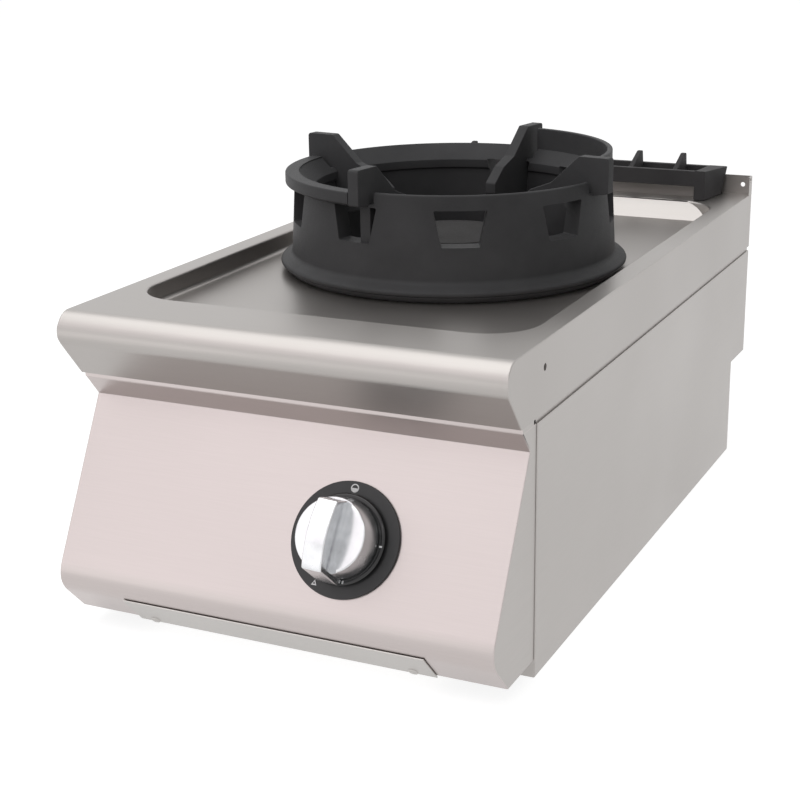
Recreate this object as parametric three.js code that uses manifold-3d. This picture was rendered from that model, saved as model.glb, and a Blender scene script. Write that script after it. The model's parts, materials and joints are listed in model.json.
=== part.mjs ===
// A table-top gas wok range: a folded steel body on its own bottom flanges, a pressed worktop with a
// sunken pan, a cast wok ring over a ring burner, a flue grille, one push-and-turn gas valve behind a
// sloping control panel, and a drip tray that pulls out through the panel's lower flange.
//
// Lengths are millimetres. X runs to the right, Y to the rear and Z up. Outlines are written as
// [forward, up] pairs: forward is measured from the worktop's rear face towards the user, and up
// from the surface that the range stands on.

import * as THREE from 'three';
import { mergeVertices } from 'three/addons/utils/BufferGeometryUtils.js';
import Module from 'manifold-3d';

const wasm = await Module();
wasm.setup();

// ---------------------------------------------------------------- driving dimensions

// Overall sizes
const WIDTH = 400;
const DEPTH = 730;               // worktop, nose tip to rear face
const DECK_HEIGHT = 280;
const TOP_SHEET = 1.5;           // worktop steel
const BODY_SHEET = 1.2;          // body and panel steel
const GAP = 0.3;                 // between pieces that touch

// Worktop
const NOSE_RADIUS = 17;
const NOSE_SLOPE = 39.6;         // degrees from the vertical
const SKIRT_DROP = 58.6;         // deck to the skirts' lower edge
const SHADOW_GAP = 4.4;          // skirt to body side
const SKIRT_HOLE_RADIUS = 3;
const SKIRT_HOLE_BACK = 78;      // behind the nose tip
const SKIRT_HOLE_DROP = 22;
const UPSTAND_HEIGHT = 20;
const UPSTAND_RETURN = 13;
const UPSTAND_HOLE_RADIUS = 2.5;
const UPSTAND_HOLE_INSET = 10;
const RETURN_HOLE_FORWARD = 7.8;
const RETURN_HOLE_RISE = 16;
const PAN_RIM = 20;              // deck left at each side of the pan
const PAN_DEPTH = 18;
const PAN_FRONT = 75;            // behind the nose tip
const PAN_REAR = 64;             // in front of the rear face
const PAN_CORNER = 45;
const PAN_REAR_RUN = 19;         // the rear wall slopes forwards by this much
const NOSE_HEM = 12;             // folded back under the nose

// Burner opening and burner
const BURNER_FORWARD = 367;
const OPENING_RADIUS = 118;
const COLLAR_HEIGHT = 6;
const BOWL_RADIUS = 62;
const BOWL_HEIGHT = 48;
const BOWL_RISE = 8;             // bowl's rim above the pan floor
const CASTING_WALL = 5;
const CROWN_HEIGHT = 18;
const CROWN_WALL = 26;
const FLAME_SLOTS = 20;
const FLAME_SLOT_WIDTH = 2.6;
const FLAME_SLOT_DEPTH = 5;
const CAP_HEIGHT = 8;
const CAP_DOME = 3;
const CAP_SPIGOT = 8;
const VENTURI_BORE = 13;
const VENTURI_WALL = 4;
const VENTURI_LENGTH = 160;
const BRACKET_DEPTH = 60;
const BRACKET_LIP = 15;
const BOSS_RADIUS = 6;
const BOSS_SPACING = 80;

// Wok ring
const FOOT_RADIUS = 165.4;
const FOOT_HEIGHT = 10;
const FOOT_EDGE = 2.2;
const WALL_RADIUS_FOOT = 154.4;
const WALL_RADIUS_RIM = 149.9;
const RIM_HEIGHT = 87.3;         // above the ring's underside
const SEAT_RADIUS = 131;
const SEAT_DROP = 13.5;
const SEAT_LIP = 9;
const RING_BORE = 134;
const FIN_COUNT = 4;
const FIN_TURN = -8.3;           // degrees, the right-hand fin from +X
const FIN_WIDTH = 11;
const FIN_RADIUS = 165.9;
const FIN_HEIGHT = 108.7;
const FIN_REACH = 70;            // inner end of the fins from the axis
const FIN_LUG = 32;
const FIN_FOOT = 28;             // the fin's lowest point on the wall, above the ring's underside
const FIN_EDGE = [[28, 26], [49, 34]];   // the upper edge's bends, inwards and down from its top
const FIN_TOE = [48, 59];        // the inner end, from and to, below the top
const FIN_UNDERCUT = [30, 12];   // from the toe, outwards and down
const NOTCH_WIDTH = 5.5;
const NOTCH_DEPTH = 11;
const SHIELD_HEIGHT = 106;
const SHIELD_WALL = 5;
const LOBE_RADIUS = 159;
const LOBE_HEIGHT = 14;
const WINDOW_COUNT = 7;
const WINDOW_PITCH = 38;         // degrees
const WINDOW_FIRST = -140.2;     // degrees from +X
const WINDOW_TOP = 74;           // above the ring's underside
const WINDOW_BOTTOM = 41.8;
const WINDOW_TOP_WIDTH = 47.4;
const WINDOW_BOTTOM_WIDTH = 34;
const BASE_HEIGHT = 5.8;
const BASE_RADIUS = 163;
const BASE_FOOT_RADIUS = 152;
const BASE_BORE = 123;

// Flue
const FLUE_WIDTH = 300;
const FLUE_FRONT = 40;
const FLUE_REAR = 14;
const FLUE_DEPTH = 50;           // below the deck
const FLUE_RISE = 14.5;          // above the deck
const FLUE_LIP = 7;
const GRILLE_FRONT = 62;
const GRILLE_HALF_FRONT = 163;
const GRILLE_HALF_REAR = 172;
const GRILLE_HEIGHT = 32;
const GRILLE_REAR_HEIGHT = 29;
const GRILLE_LEG = 12;
const GRILLE_BAR = 8;
const GRILLE_BAR_HEIGHT = 17;
const GRILLE_UNDERCUT = 15;
const GRILLE_FINS = 6;
const GRILLE_FIN_PITCH = 50;
const GRILLE_FIN_WIDTH = 5.5;
const GRILLE_FIN_RISE = 14;

// Body
const SIDE_SETBACK = 63.4;       // side panel's front edge behind the nose tip
const SIDE_FLANGE = 14;
const BOTTOM_FLANGE = 20;
const REAR_SETBACK = 2;
const PIPE_RECESS_DEPTH = 55;
const PIPE_RECESS_HEIGHT = 102;
const RAIL_HEIGHT = 14;
const RAIL_DEPTH = 25;

// Control panel
const PANEL_LEAN = 28;           // degrees from the vertical
const PANEL_LENGTH = 165;        // top edge to the lower bend's corner
const PANEL_TOP = 197.3;
const PANEL_SETBACK = 50.1;      // top edge behind the nose tip
const PANEL_BEND = 25;
const PANEL_INSET = 1;
const PANEL_SEAM = 0.8;
const CUT_OVER = 1;              // cutting tools run on by this much
const FLANGE_LEAN = 44.1;        // degrees from the vertical
const FLANGE_LENGTH = 49.6;
const LEDGE_DEPTH = 24;

// Knob and gas valve, along the panel's normal
const KNOB_X = 60;
const KNOB_DOWN = 89.7;          // from the panel's top edge
const BEZEL_RADIUS = 47.4;
const BEZEL_THICKNESS = 2.5;
const BEZEL_RECESS_RADIUS = 34;
const BEZEL_WEB = 1.1;
const PUSH_TRAVEL = 3;
const SKIRT_RADIUS = 37.2;
const SKIRT_THICKNESS = 2.2;
const KNOB_RADIUS = 33;
const KNOB_TAPER = 2.6;
const KNOB_HEIGHT = 23;
const GRIP_HEIGHT = 45.9;
const GRIP_CROWN = 5.8;          // rise of its front between the ends
const GRIP_WIDTH = 18;
const GRIP_UP = 26.5;            // its front's end towards the panel's top
const GRIP_DOWN = 30;
const GRIP_FOOT_UP = 32;
const GRIP_FOOT_DOWN = 37;
const GRIP_TURN = -3;            // degrees
const STEM_RADIUS = 4;
const STEM_DEPTH = 20;
const SOCKET_DEPTH = 17;
const VALVE_WIDTH = 30;
const VALVE_LENGTH = 38;
const VALVE_NECK_RADIUS = 12;
const VALVE_NECK_DEPTH = 14;
const VALVE_FLANGE_LENGTH = 50;
const VALVE_FLANGE_WIDTH = 22;
const VALVE_FLANGE_THICKNESS = 3.5;
const VALVE_FRONT_WALL = 8.5;
const PLUG_RADIUS = 9;
const PLUG_LENGTH = 38;
const GAS_PORT_RADIUS = 4.5;
const GAS_BOSS_RADIUS = 8;
const GAS_BOSS_LENGTH = 12;
const SMALL_PORT_RADIUS = 2.2;
const SMALL_BOSS_RADIUS = 5;
const SMALL_BOSS_LENGTH = 8;
const VALVE_SCREW_RADIUS = 1.9;
const VALVE_SCREW_LENGTH = 9;
const VALVE_SCREW_HEAD = 1.2;
const VALVE_SCREW_SPACING = 40;
const VALVE_CAP_RADIUS = 13;
const VALVE_CAP_THICKNESS = 4.7;

// Gas pipes
const INLET_INSET = 50;          // from the right side
const INLET_HEIGHT = 55;
const INLET_RADIUS = 10;
const INLET_BORE = 7;
const INLET_HEX = 15;
const INLET_HEX_LENGTH = 7;
const INLET_STUB = 17;
const MAIN_PIPE_RADIUS = 8;
const MAIN_PIPE_BORE = 6;
const FEED_PIPE_RADIUS = 6;
const FEED_PIPE_BORE = 4.5;
const PIPE_BEND = 24;
const PILOT_PIPE_RADIUS = 2;
const LEAD_RADIUS = 1.5;
const LEAD_HEIGHT = 190;
const HOLDER_RADIUS = 10;
const HOLDER_LENGTH = 20;
const INJECTOR_RADIUS = 5;
const INJECTOR_LENGTH = 7;
const SHUTTER_WALL = 1.5;
const SHUTTER_LENGTH = 40;
const SHUTTER_OVERLAP = 22;
const PILOT_TURN = -50;          // degrees from +X, seen from above
const PROBE_TURN = -32;
const PILOT_OFFSET = 72;         // from the burner's axis
const PILOT_RADIUS = 5;
const PILOT_HEIGHT = 36;
const PROBE_RADIUS = 3;
const EAR_DROP = 21;             // below the bowl's rim
const EAR_THICKNESS = 3;
const EAR_WIDTH = 18;

// Drip tray
const TRAY_HALF_WIDTH = 134;
const TRAY_HEIGHT = 24.2;
const TRAY_REAR = 70;
const TRAY_FRONT_HALF_WIDTH = 139;
const TRAY_FRONT_TOP = 14;       // along the flange, from the bend's corner
const TRAY_FRONT_BOTTOM = 52;
const TRAY_SIDE_CLEARANCE = 0.7;
const RUNNER_LEDGE = 15;
const RUNNER_HEIGHT = 14;

// Roundness
const ROUND = 72;
const MEDIUM = 36;
const SMALL = 16;
const ARC_STEPS = 8;
const GRID = 1 / 512;

// ---------------------------------------------------------------- materials

const steel = new THREE.MeshStandardMaterial({ color: 0xb3afac, roughness: 0.38, metalness: 0.9 });
const panelSteel = new THREE.MeshStandardMaterial({ color: 0xe2d8d7, roughness: 0.45, metalness: 0.7 });
const castIron = new THREE.MeshStandardMaterial({ color: 0x3d3d3e, roughness: 0.7, metalness: 0.3 });
const blackPlastic = new THREE.MeshStandardMaterial({ color: 0x2c2c2e, roughness: 0.45, metalness: 0 });
const chrome = new THREE.MeshStandardMaterial({ color: 0xe6e8ea, roughness: 0.15, metalness: 1 });
const brass = new THREE.MeshStandardMaterial({ color: 0xb8955a, roughness: 0.4, metalness: 0.9 });
const copper = new THREE.MeshStandardMaterial({ color: 0xb87a56, roughness: 0.35, metalness: 0.9 });
const zinc = new THREE.MeshStandardMaterial({ color: 0xa9adb0, roughness: 0.5, metalness: 0.8 });

// ---------------------------------------------------------------- building blocks

const range = new THREE.Group();
const radians = THREE.MathUtils.degToRad;
const halfWidth = WIDTH / 2;

/** A closed solid for cutting and joining, from any closed geometry. Its corners snap to a fine grid,
 *  so that faces meant to be flush are exactly flush. */
function solid(geometry) {
  const bare = geometry.clone();
  bare.deleteAttribute('normal');
  bare.deleteAttribute('uv');
  const places = bare.attributes.position;
  for (let i = 0; i < places.array.length; i += 1) {
    places.array[i] = Math.round(places.array[i] / GRID) * GRID;
  }
  const merged = mergeVertices(bare, GRID / 4);
  const corners = merged.index.array;
  const triangles = [];
  for (let i = 0; i < corners.length; i += 3) {
    const [a, b, c] = [corners[i], corners[i + 1], corners[i + 2]];
    if (a !== b && b !== c && c !== a) triangles.push(a, b, c);
  }
  return new wasm.Manifold(new wasm.Mesh({
    numProp: 3,
    vertProperties: Float32Array.from(merged.attributes.position.array),
    triVerts: Uint32Array.from(triangles),
  }));
}

const join = (...pieces) => pieces.reduce((whole, piece) => whole.add(piece));
const cut = (whole, ...tools) => tools.reduce((rest, tool) => rest.subtract(tool), whole);

/** Adds a solid to a group as one named piece. */
function place(name, whole, material, group = range) {
  const { vertProperties, triVerts } = whole.getMesh();
  const geometry = new THREE.BufferGeometry();
  geometry.setAttribute('position', new THREE.BufferAttribute(vertProperties, 3));
  geometry.setIndex(new THREE.BufferAttribute(triVerts, 1));
  geometry.computeVertexNormals();
  const mesh = new THREE.Mesh(geometry, material);
  mesh.name = name;
  group.add(mesh);
}

/** The point that lies so far right, forward and up. */
const point = (x, forward, up) => new THREE.Vector3(x, -forward, up);

/** A box between two x, two forward and two height values. */
function block([x0, x1], [forward0, forward1], [z0, z1]) {
  const geometry = new THREE.BoxGeometry(x1 - x0, forward1 - forward0, z1 - z0);
  geometry.translate((x0 + x1) / 2, -(forward0 + forward1) / 2, (z0 + z1) / 2);
  return solid(geometry);
}

/** A [forward, up] outline carried along X. */
function prism(outline, [x0, x1]) {
  const shape = new THREE.Shape(outline.map(([forward, up]) => new THREE.Vector2(forward, up)));
  const geometry = new THREE.ExtrudeGeometry(shape, { depth: x1 - x0, bevelEnabled: false });
  const toRear = new THREE.Vector3(0, -1, 0);
  const upwards = new THREE.Vector3(0, 0, 1);
  const leftwards = new THREE.Vector3(-1, 0, 0);
  const turn = new THREE.Matrix4().makeBasis(toRear, upwards, leftwards).setPosition(x1, 0, 0);
  geometry.applyMatrix4(turn);
  return solid(geometry);
}

/** A round bar between two points; six sides make a hexagon bar. */
function rod(from, to, radius, sides = SMALL) {
  const along = to.clone().sub(from);
  const geometry = new THREE.CylinderGeometry(radius, radius, along.length(), sides);
  geometry.applyQuaternion(new THREE.Quaternion().setFromUnitVectors(
    new THREE.Vector3(0, 1, 0), along.clone().normalize()));
  const middle = from.clone().lerp(to, 0.5);
  geometry.translate(middle.x, middle.y, middle.z);
  return solid(geometry);
}

/** A closed [radius, height] profile turned about an upright axis that stands so far forward. */
function turned(profile, sides = ROUND, forward = 0) {
  const points = profile.map(([radius, height]) => new THREE.Vector2(radius, height));
  if (THREE.ShapeUtils.area(points) < 0) points.reverse();
  if (points[0].x > 0 || points[points.length - 1].x > 0) points.push(points[0].clone());
  const geometry = new THREE.LatheGeometry(points, sides);
  geometry.rotateX(Math.PI / 2);
  geometry.translate(0, -forward, 0);
  return solid(geometry);
}

/** Points on an arc about a centre, both ends included; angles in degrees. */
function arc([centreA, centreB], radius, from, to, steps = ARC_STEPS) {
  const points = [];
  for (let i = 0; i <= steps; i += 1) {
    const angle = radians(from + ((to - from) * i) / steps);
    points.push([centreA + radius * Math.cos(angle), centreB + radius * Math.sin(angle)]);
  }
  return points;
}

/** A rounded rectangle seen from above, carried from one height to another. */
function tub(halfX, [forward0, forward1], corner, [z0, z1]) {
  const outline = [
    ...arc([halfX - corner, forward1 - corner], corner, 0, 90),
    ...arc([-halfX + corner, forward1 - corner], corner, 90, 180),
    ...arc([-halfX + corner, forward0 + corner], corner, 180, 270),
    ...arc([halfX - corner, forward0 + corner], corner, 270, 360),
  ];
  const shape = new THREE.Shape(outline.map(([x, forward]) => new THREE.Vector2(x, -forward)));
  const geometry = new THREE.ExtrudeGeometry(shape, { depth: z1 - z0, bevelEnabled: false });
  geometry.translate(0, 0, z0);
  return solid(geometry);
}

/** A round pipe through a list of points, its corners rounded by a bend; a bore makes it hollow. */
function pipe(points, radius, { bore = 0, bend = PIPE_BEND, sides = 8, steps = 24 } = {}) {
  const path = new THREE.CurvePath();
  let from = points[0];
  for (let i = 1; i < points.length - 1; i += 1) {
    const corner = points[i];
    const reach = (other) => Math.min(bend, 0.45 * corner.distanceTo(other));
    const enter = corner.clone().add(points[i - 1].clone().sub(corner).setLength(reach(points[i - 1])));
    const leave = corner.clone().add(points[i + 1].clone().sub(corner).setLength(reach(points[i + 1])));
    path.add(new THREE.LineCurve3(from, enter));
    path.add(new THREE.QuadraticBezierCurve3(enter, corner, leave));
    from = leave;
  }
  path.add(new THREE.LineCurve3(from, points[points.length - 1]));
  const ring = (r) => arc([0, 0], r, 0, 360, sides).slice(0, -1).map(([x, y]) => new THREE.Vector2(x, y));
  const section = new THREE.Shape(ring(radius));
  if (bore > 0) section.holes.push(new THREE.Path(ring(bore)));
  return solid(new THREE.ExtrudeGeometry(section, { steps, extrudePath: path }));
}

/** The two x values of a strip on one side: side is 1 for right and -1 for left. */
const strip = (side, near, far) => (side > 0 ? [near, far] : [-far, -near]);
const both = (half) => [-half, half];
const SIDES = [['left', -1], ['right', 1]];

// ---------------------------------------------------------------- levels and lines

const panFloor = DECK_HEIGHT - PAN_DEPTH;
const skirtBottom = DECK_HEIGHT - SKIRT_DROP;
const bodyTop = skirtBottom - SHADOW_GAP;
const deckUnderside = DECK_HEIGHT - TOP_SHEET;
const sideFront = DEPTH - SIDE_SETBACK;
const recessFront = REAR_SETBACK + PIPE_RECESS_DEPTH;
const sideInner = halfWidth - BODY_SHEET;
const between = sideInner - GAP;                 // half width of what fits between the side panels
const webOuter = halfWidth - TOP_SHEET - GAP;    // the side panels' upper webs, inside the skirts
const webInner = webOuter - BODY_SHEET;

// The control panel's section: ledge, strip under the nose, sloping face, bend and lower flange
const noseTan = Math.tan(radians(NOSE_SLOPE));
const panelEdge = [DEPTH - PANEL_SETBACK, PANEL_TOP];
const ledgeEdge = [panelEdge[0] + (bodyTop - PANEL_TOP) * noseTan, bodyTop];
const faceDirection = [Math.sin(radians(PANEL_LEAN)), -Math.cos(radians(PANEL_LEAN))];
const flangeDirection = [-Math.sin(radians(FLANGE_LEAN)), -Math.cos(radians(FLANGE_LEAN))];
const along = ([a, b], [da, db], distance) => [a + da * distance, b + db * distance];
const bendCorner = along(panelEdge, faceDirection, PANEL_LENGTH);
const flangeEnd = along(bendCorner, flangeDirection, FLANGE_LENGTH);

/** The lower bend as an arc, for the sheet's outer face or moved inwards by its thickness. */
function panelBend(inset) {
  const turn = PANEL_LEAN + FLANGE_LEAN;
  const tangent = PANEL_BEND * Math.tan(radians(turn / 2));
  const start = along(bendCorner, faceDirection, -tangent);
  const inwards = [-Math.cos(radians(PANEL_LEAN)), -Math.sin(radians(PANEL_LEAN))];
  const centre = along(start, inwards, PANEL_BEND);
  return arc(centre, PANEL_BEND - inset, PANEL_LEAN, PANEL_LEAN - turn);
}

/** The panel's whole section, closed at its rear edge, moved inwards by a wall thickness. */
function panelSection(inset, rear) {
  const shift = ([a, b], [na, nb]) => [a + na * inset, b + nb * inset];
  const face = [-Math.cos(radians(PANEL_LEAN)), -Math.sin(radians(PANEL_LEAN))];
  const flange = [-Math.cos(radians(FLANGE_LEAN)), Math.sin(radians(FLANGE_LEAN))];
  const strips = [-Math.cos(radians(NOSE_SLOPE)), Math.sin(radians(NOSE_SLOPE))];
  const ledge = [ledgeEdge[0] - inset / Math.cos(radians(NOSE_SLOPE)) - inset * noseTan, bodyTop - inset];
  const edge = meet(shift(panelEdge, strips), [noseTan, 1], shift(panelEdge, face), faceDirection);
  const end = along(shift(flangeEnd, flange), flangeDirection, inset > 0 ? 2 * inset : 0);
  return [[rear, bodyTop - inset], ledge, edge, ...panelBend(inset), end, [rear, end[1]]];
}

/** Where two lines, each a point and a direction, cross. */
function meet([ax, ay], [adx, ady], [bx, by], [bdx, bdy]) {
  const share = ((bx - ax) * bdy - (by - ay) * bdx) / (adx * bdy - ady * bdx);
  return [ax + adx * share, ay + ady * share];
}

// ---------------------------------------------------------------- worktop

/** The section of deck, nose and skirts, moved inwards by a wall thickness. */
function worktopSection(inset, bottom) {
  const centre = [DEPTH - NOSE_RADIUS, DECK_HEIGHT - NOSE_RADIUS];
  const nose = arc(centre, NOSE_RADIUS - inset, 90, -NOSE_SLOPE);
  const [slopeForward, slopeUp] = nose[nose.length - 1];
  const foot = [slopeForward - (slopeUp - bottom) * noseTan, bottom];
  return [[inset, bottom], [inset, DECK_HEIGHT - inset], ...nose, foot];
}

/** What the pan's rear wall leaves behind it: the wall slopes, and its outer face lies below it. */
function panWedge(drop) {
  const run = [PAN_REAR_RUN, -PAN_DEPTH];
  const share = drop / Math.hypot(...run);
  const edge = [PAN_REAR - PAN_DEPTH * share, DECK_HEIGHT - PAN_REAR_RUN * share];
  const high = along(edge, run, -1);
  const low = along(edge, run, 2);
  return prism([high, low, [high[0], low[1]]], both(halfWidth));
}

function makeWorktop() {
  const panSpan = [PAN_REAR, DEPTH - PAN_FRONT];
  const panWall = [PAN_REAR - TOP_SHEET, DEPTH - PAN_FRONT + TOP_SHEET];
  const panHalf = halfWidth - PAN_RIM;
  const upstandTop = DECK_HEIGHT + UPSTAND_HEIGHT;
  const holeX = halfWidth - UPSTAND_HOLE_INSET;
  const upstandHoleUp = DECK_HEIGHT + UPSTAND_HEIGHT / 2;
  const returnHole = [RETURN_HOLE_FORWARD, DECK_HEIGHT + RETURN_HOLE_RISE];
  const skirtHole = [DEPTH - SKIRT_HOLE_BACK, DECK_HEIGHT - SKIRT_HOLE_DROP];
  const over = CUT_OVER;
  const outside = worktopSection(0, skirtBottom);
  const [noseFoot] = outside[outside.length - 1];
  let top = cut(
    prism(outside, both(halfWidth)),
    prism(worktopSection(TOP_SHEET, skirtBottom - over), both(halfWidth - TOP_SHEET)),
  );
  top = join(
    top,
    cut(
      tub(panHalf + TOP_SHEET, panWall, PAN_CORNER + TOP_SHEET, [panFloor - TOP_SHEET, deckUnderside]),
      panWedge(TOP_SHEET),
    ),
    block(both(halfWidth), [0, TOP_SHEET], [deckUnderside, upstandTop]),
    block(both(halfWidth), [noseFoot - NOSE_HEM, noseFoot - TOP_SHEET / 2],
      [skirtBottom, skirtBottom + TOP_SHEET]),
    ...SIDES.map(([, side]) => block(strip(side, halfWidth - TOP_SHEET, halfWidth),
      [0, UPSTAND_RETURN], [deckUnderside, upstandTop])),
  );
  top = cut(top, cut(tub(panHalf, panSpan, PAN_CORNER, [panFloor, DECK_HEIGHT + over]), panWedge(0)));
  const axis = (up) => point(0, BURNER_FORWARD, up);
  top = join(top, rod(axis(panFloor - TOP_SHEET), axis(panFloor + COLLAR_HEIGHT),
    OPENING_RADIUS + TOP_SHEET, ROUND));
  const flueHalf = FLUE_WIDTH / 2 + GAP;
  return cut(
    top,
    rod(axis(panFloor - TOP_SHEET - over), axis(panFloor + COLLAR_HEIGHT + over), OPENING_RADIUS, ROUND),
    block(both(flueHalf), [FLUE_REAR - GAP, FLUE_FRONT + GAP], [deckUnderside - over, DECK_HEIGHT + over]),
    rod(point(-halfWidth - over, ...skirtHole), point(halfWidth + over, ...skirtHole), SKIRT_HOLE_RADIUS),
    rod(point(-halfWidth - over, ...returnHole), point(halfWidth + over, ...returnHole),
      UPSTAND_HOLE_RADIUS),
    ...SIDES.map(([, side]) => rod(point(side * holeX, -over, upstandHoleUp),
      point(side * holeX, TOP_SHEET + over, upstandHoleUp), UPSTAND_HOLE_RADIUS)),
  );
}
place('worktop', makeWorktop(), steel);

// ---------------------------------------------------------------- body

for (const [name, side] of SIDES) {
  const outline = [
    [sideFront, 0], [sideFront, bodyTop], [REAR_SETBACK, bodyTop],
    [REAR_SETBACK, PIPE_RECESS_HEIGHT], [recessFront, PIPE_RECESS_HEIGHT], [recessFront, 0],
  ];
  const webTop = deckUnderside - GAP;
  const webFront = DEPTH - NOSE_RADIUS - SIDE_SETBACK / 2;
  place(`side_panel_${name}`, join(
    prism(outline, strip(side, sideInner, halfWidth)),
    block(strip(side, halfWidth - BOTTOM_FLANGE, halfWidth), [recessFront, sideFront], [0, BODY_SHEET]),
    block(strip(side, halfWidth - SIDE_FLANGE, halfWidth),
      [sideFront - BODY_SHEET, sideFront], [0, bodyTop]),
    block(strip(side, webInner, halfWidth), [REAR_SETBACK, sideFront], [bodyTop - BODY_SHEET, bodyTop]),
    block(strip(side, webInner, webOuter), [REAR_SETBACK, sideFront], [bodyTop - BODY_SHEET, webTop]),
    block(strip(side, webInner, webOuter), [sideFront - BODY_SHEET, webFront], [skirtBottom, webTop]),
  ), steel);
}

const shelfTop = PIPE_RECESS_HEIGHT + BODY_SHEET;
place('rear_panel_upper', join(
  block(both(between), [REAR_SETBACK, REAR_SETBACK + BODY_SHEET],
    [PIPE_RECESS_HEIGHT, bodyTop - BODY_SHEET - GAP]),
  block(both(webInner - GAP), [REAR_SETBACK, REAR_SETBACK + BODY_SHEET],
    [PIPE_RECESS_HEIGHT, deckUnderside - GAP]),
  block(both(between), [REAR_SETBACK, recessFront + BODY_SHEET], [PIPE_RECESS_HEIGHT, shelfTop]),
), steel);

const inletX = halfWidth - INLET_INSET;
const inletAxis = (forward) => point(inletX, forward, INLET_HEIGHT);
place('rear_panel_lower', cut(
  block(both(between), [recessFront, recessFront + BODY_SHEET],
    [BODY_SHEET + GAP, PIPE_RECESS_HEIGHT - GAP]),
  rod(inletAxis(recessFront - 1), inletAxis(recessFront + BODY_SHEET + 1), INLET_RADIUS + GAP),
), steel);

const railFront = sideFront - BODY_SHEET - GAP;
const railBottom = BODY_SHEET + GAP;
place('front_rail', join(
  block(both(between), [railFront - BODY_SHEET, railFront], [railBottom, RAIL_HEIGHT]),
  block(both(between), [railFront - RAIL_DEPTH, railFront], [railBottom, railBottom + BODY_SHEET]),
  block(both(between), [railFront - RAIL_DEPTH, railFront], [RAIL_HEIGHT - BODY_SHEET, RAIL_HEIGHT]),
), steel);

// ---------------------------------------------------------------- control panel

const panelHalf = halfWidth - PANEL_INSET;
const panelRear = sideFront + PANEL_SEAM;

// The valve and knob stand on the panel's normal: local x is right, y up the panel, z outwards.
const knobSpot = along(panelEdge, faceDirection, KNOB_DOWN);
const valveGroup = new THREE.Group();
valveGroup.position.copy(point(KNOB_X, ...knobSpot));
valveGroup.rotation.x = radians(90 - PANEL_LEAN);
valveGroup.updateMatrix();
range.add(valveGroup);
const onPanel = (x, y, z) => new THREE.Vector3(x, y, z).applyMatrix4(valveGroup.matrix);
const local = (x, y, z) => new THREE.Vector3(x, y, z);

const stemHole = STEM_RADIUS + PUSH_TRAVEL / 2;
const screwHole = VALVE_SCREW_RADIUS + GAP;
const screwXs = both(VALVE_SCREW_SPACING / 2);

const trayBottom = RAIL_HEIGHT + GAP + BODY_SHEET + GAP;
const trayTop = trayBottom + TRAY_HEIGHT;

function makeControlPanel() {
  const cheekX = panelHalf - BODY_SHEET;
  let panel = cut(
    prism(panelSection(0, panelRear), both(panelHalf)),
    prism(panelSection(BODY_SHEET, panelRear - CUT_OVER), both(cheekX)),
    block(both(cheekX), [panelRear - CUT_OVER, flangeEnd[0]], [0, flangeEnd[1] + BODY_SHEET]),
  );
  const ledgeRear = Math.max(panelRear, ledgeEdge[0] - LEDGE_DEPTH);
  panel = cut(panel, block(both(cheekX), [panelRear - CUT_OVER, ledgeRear],
    [bodyTop - 2 * BODY_SHEET, bodyTop + CUT_OVER]));
  // A low lip stands on the ledge's edge and closes most of the gap under the nose.
  const [lipFront] = ledgeEdge;
  const lipTop = skirtBottom - 2 * GAP;
  const lip = prism([
    [lipFront - BODY_SHEET, bodyTop - GAP], [lipFront - GAP * noseTan, bodyTop - GAP], ledgeEdge,
    [lipFront, lipTop], [lipFront - BODY_SHEET, lipTop],
  ], both(panelHalf));
  panel = join(panel, lip, ...SIDES.map(([, side]) => block(
    strip(side, halfWidth - SIDE_FLANGE, panelHalf),
    [panelRear, panelRear + BODY_SHEET], [flangeEnd[1], bodyTop])));
  const slotHalf = TRAY_HALF_WIDTH + TRAY_SIDE_CLEARANCE;
  const slotRear = flangeEnd[0] - TRAY_HEIGHT;
  return cut(
    panel,
    block(both(slotHalf), [slotRear, bendCorner[0] + 1], [0, trayTop + TRAY_SIDE_CLEARANCE]),
    rod(onPanel(0, 0, -2 * BODY_SHEET), onPanel(0, 0, 1), stemHole),
    ...screwXs.map((x) => rod(onPanel(x, 0, -2 * BODY_SHEET), onPanel(x, 0, 1), screwHole, 12)),
  );
}
place('control_panel', makeControlPanel(), panelSteel);

// ---------------------------------------------------------------- knob

const bezelBack = GAP;
const bezelFront = bezelBack + BEZEL_THICKNESS;
place('knob_bezel', turned([
  [stemHole, bezelFront - BEZEL_WEB], [BEZEL_RECESS_RADIUS, bezelFront - BEZEL_WEB],
  [BEZEL_RECESS_RADIUS, bezelBack], [BEZEL_RADIUS, bezelBack],
  [BEZEL_RADIUS, bezelFront - 1], [BEZEL_RADIUS - 1, bezelFront], [stemHole, bezelFront],
], MEDIUM), blackPlastic, valveGroup);

const skirtBack = bezelFront + PUSH_TRAVEL + GAP;
const skirtFront = skirtBack + SKIRT_THICKNESS;
const stemClear = STEM_RADIUS + GAP;
place('knob_skirt', turned([
  [stemClear, skirtBack], [SKIRT_RADIUS - 1, skirtBack], [SKIRT_RADIUS, skirtBack + 1],
  [SKIRT_RADIUS - 2, skirtFront], [stemClear, skirtFront],
], MEDIUM), blackPlastic, valveGroup);

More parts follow.
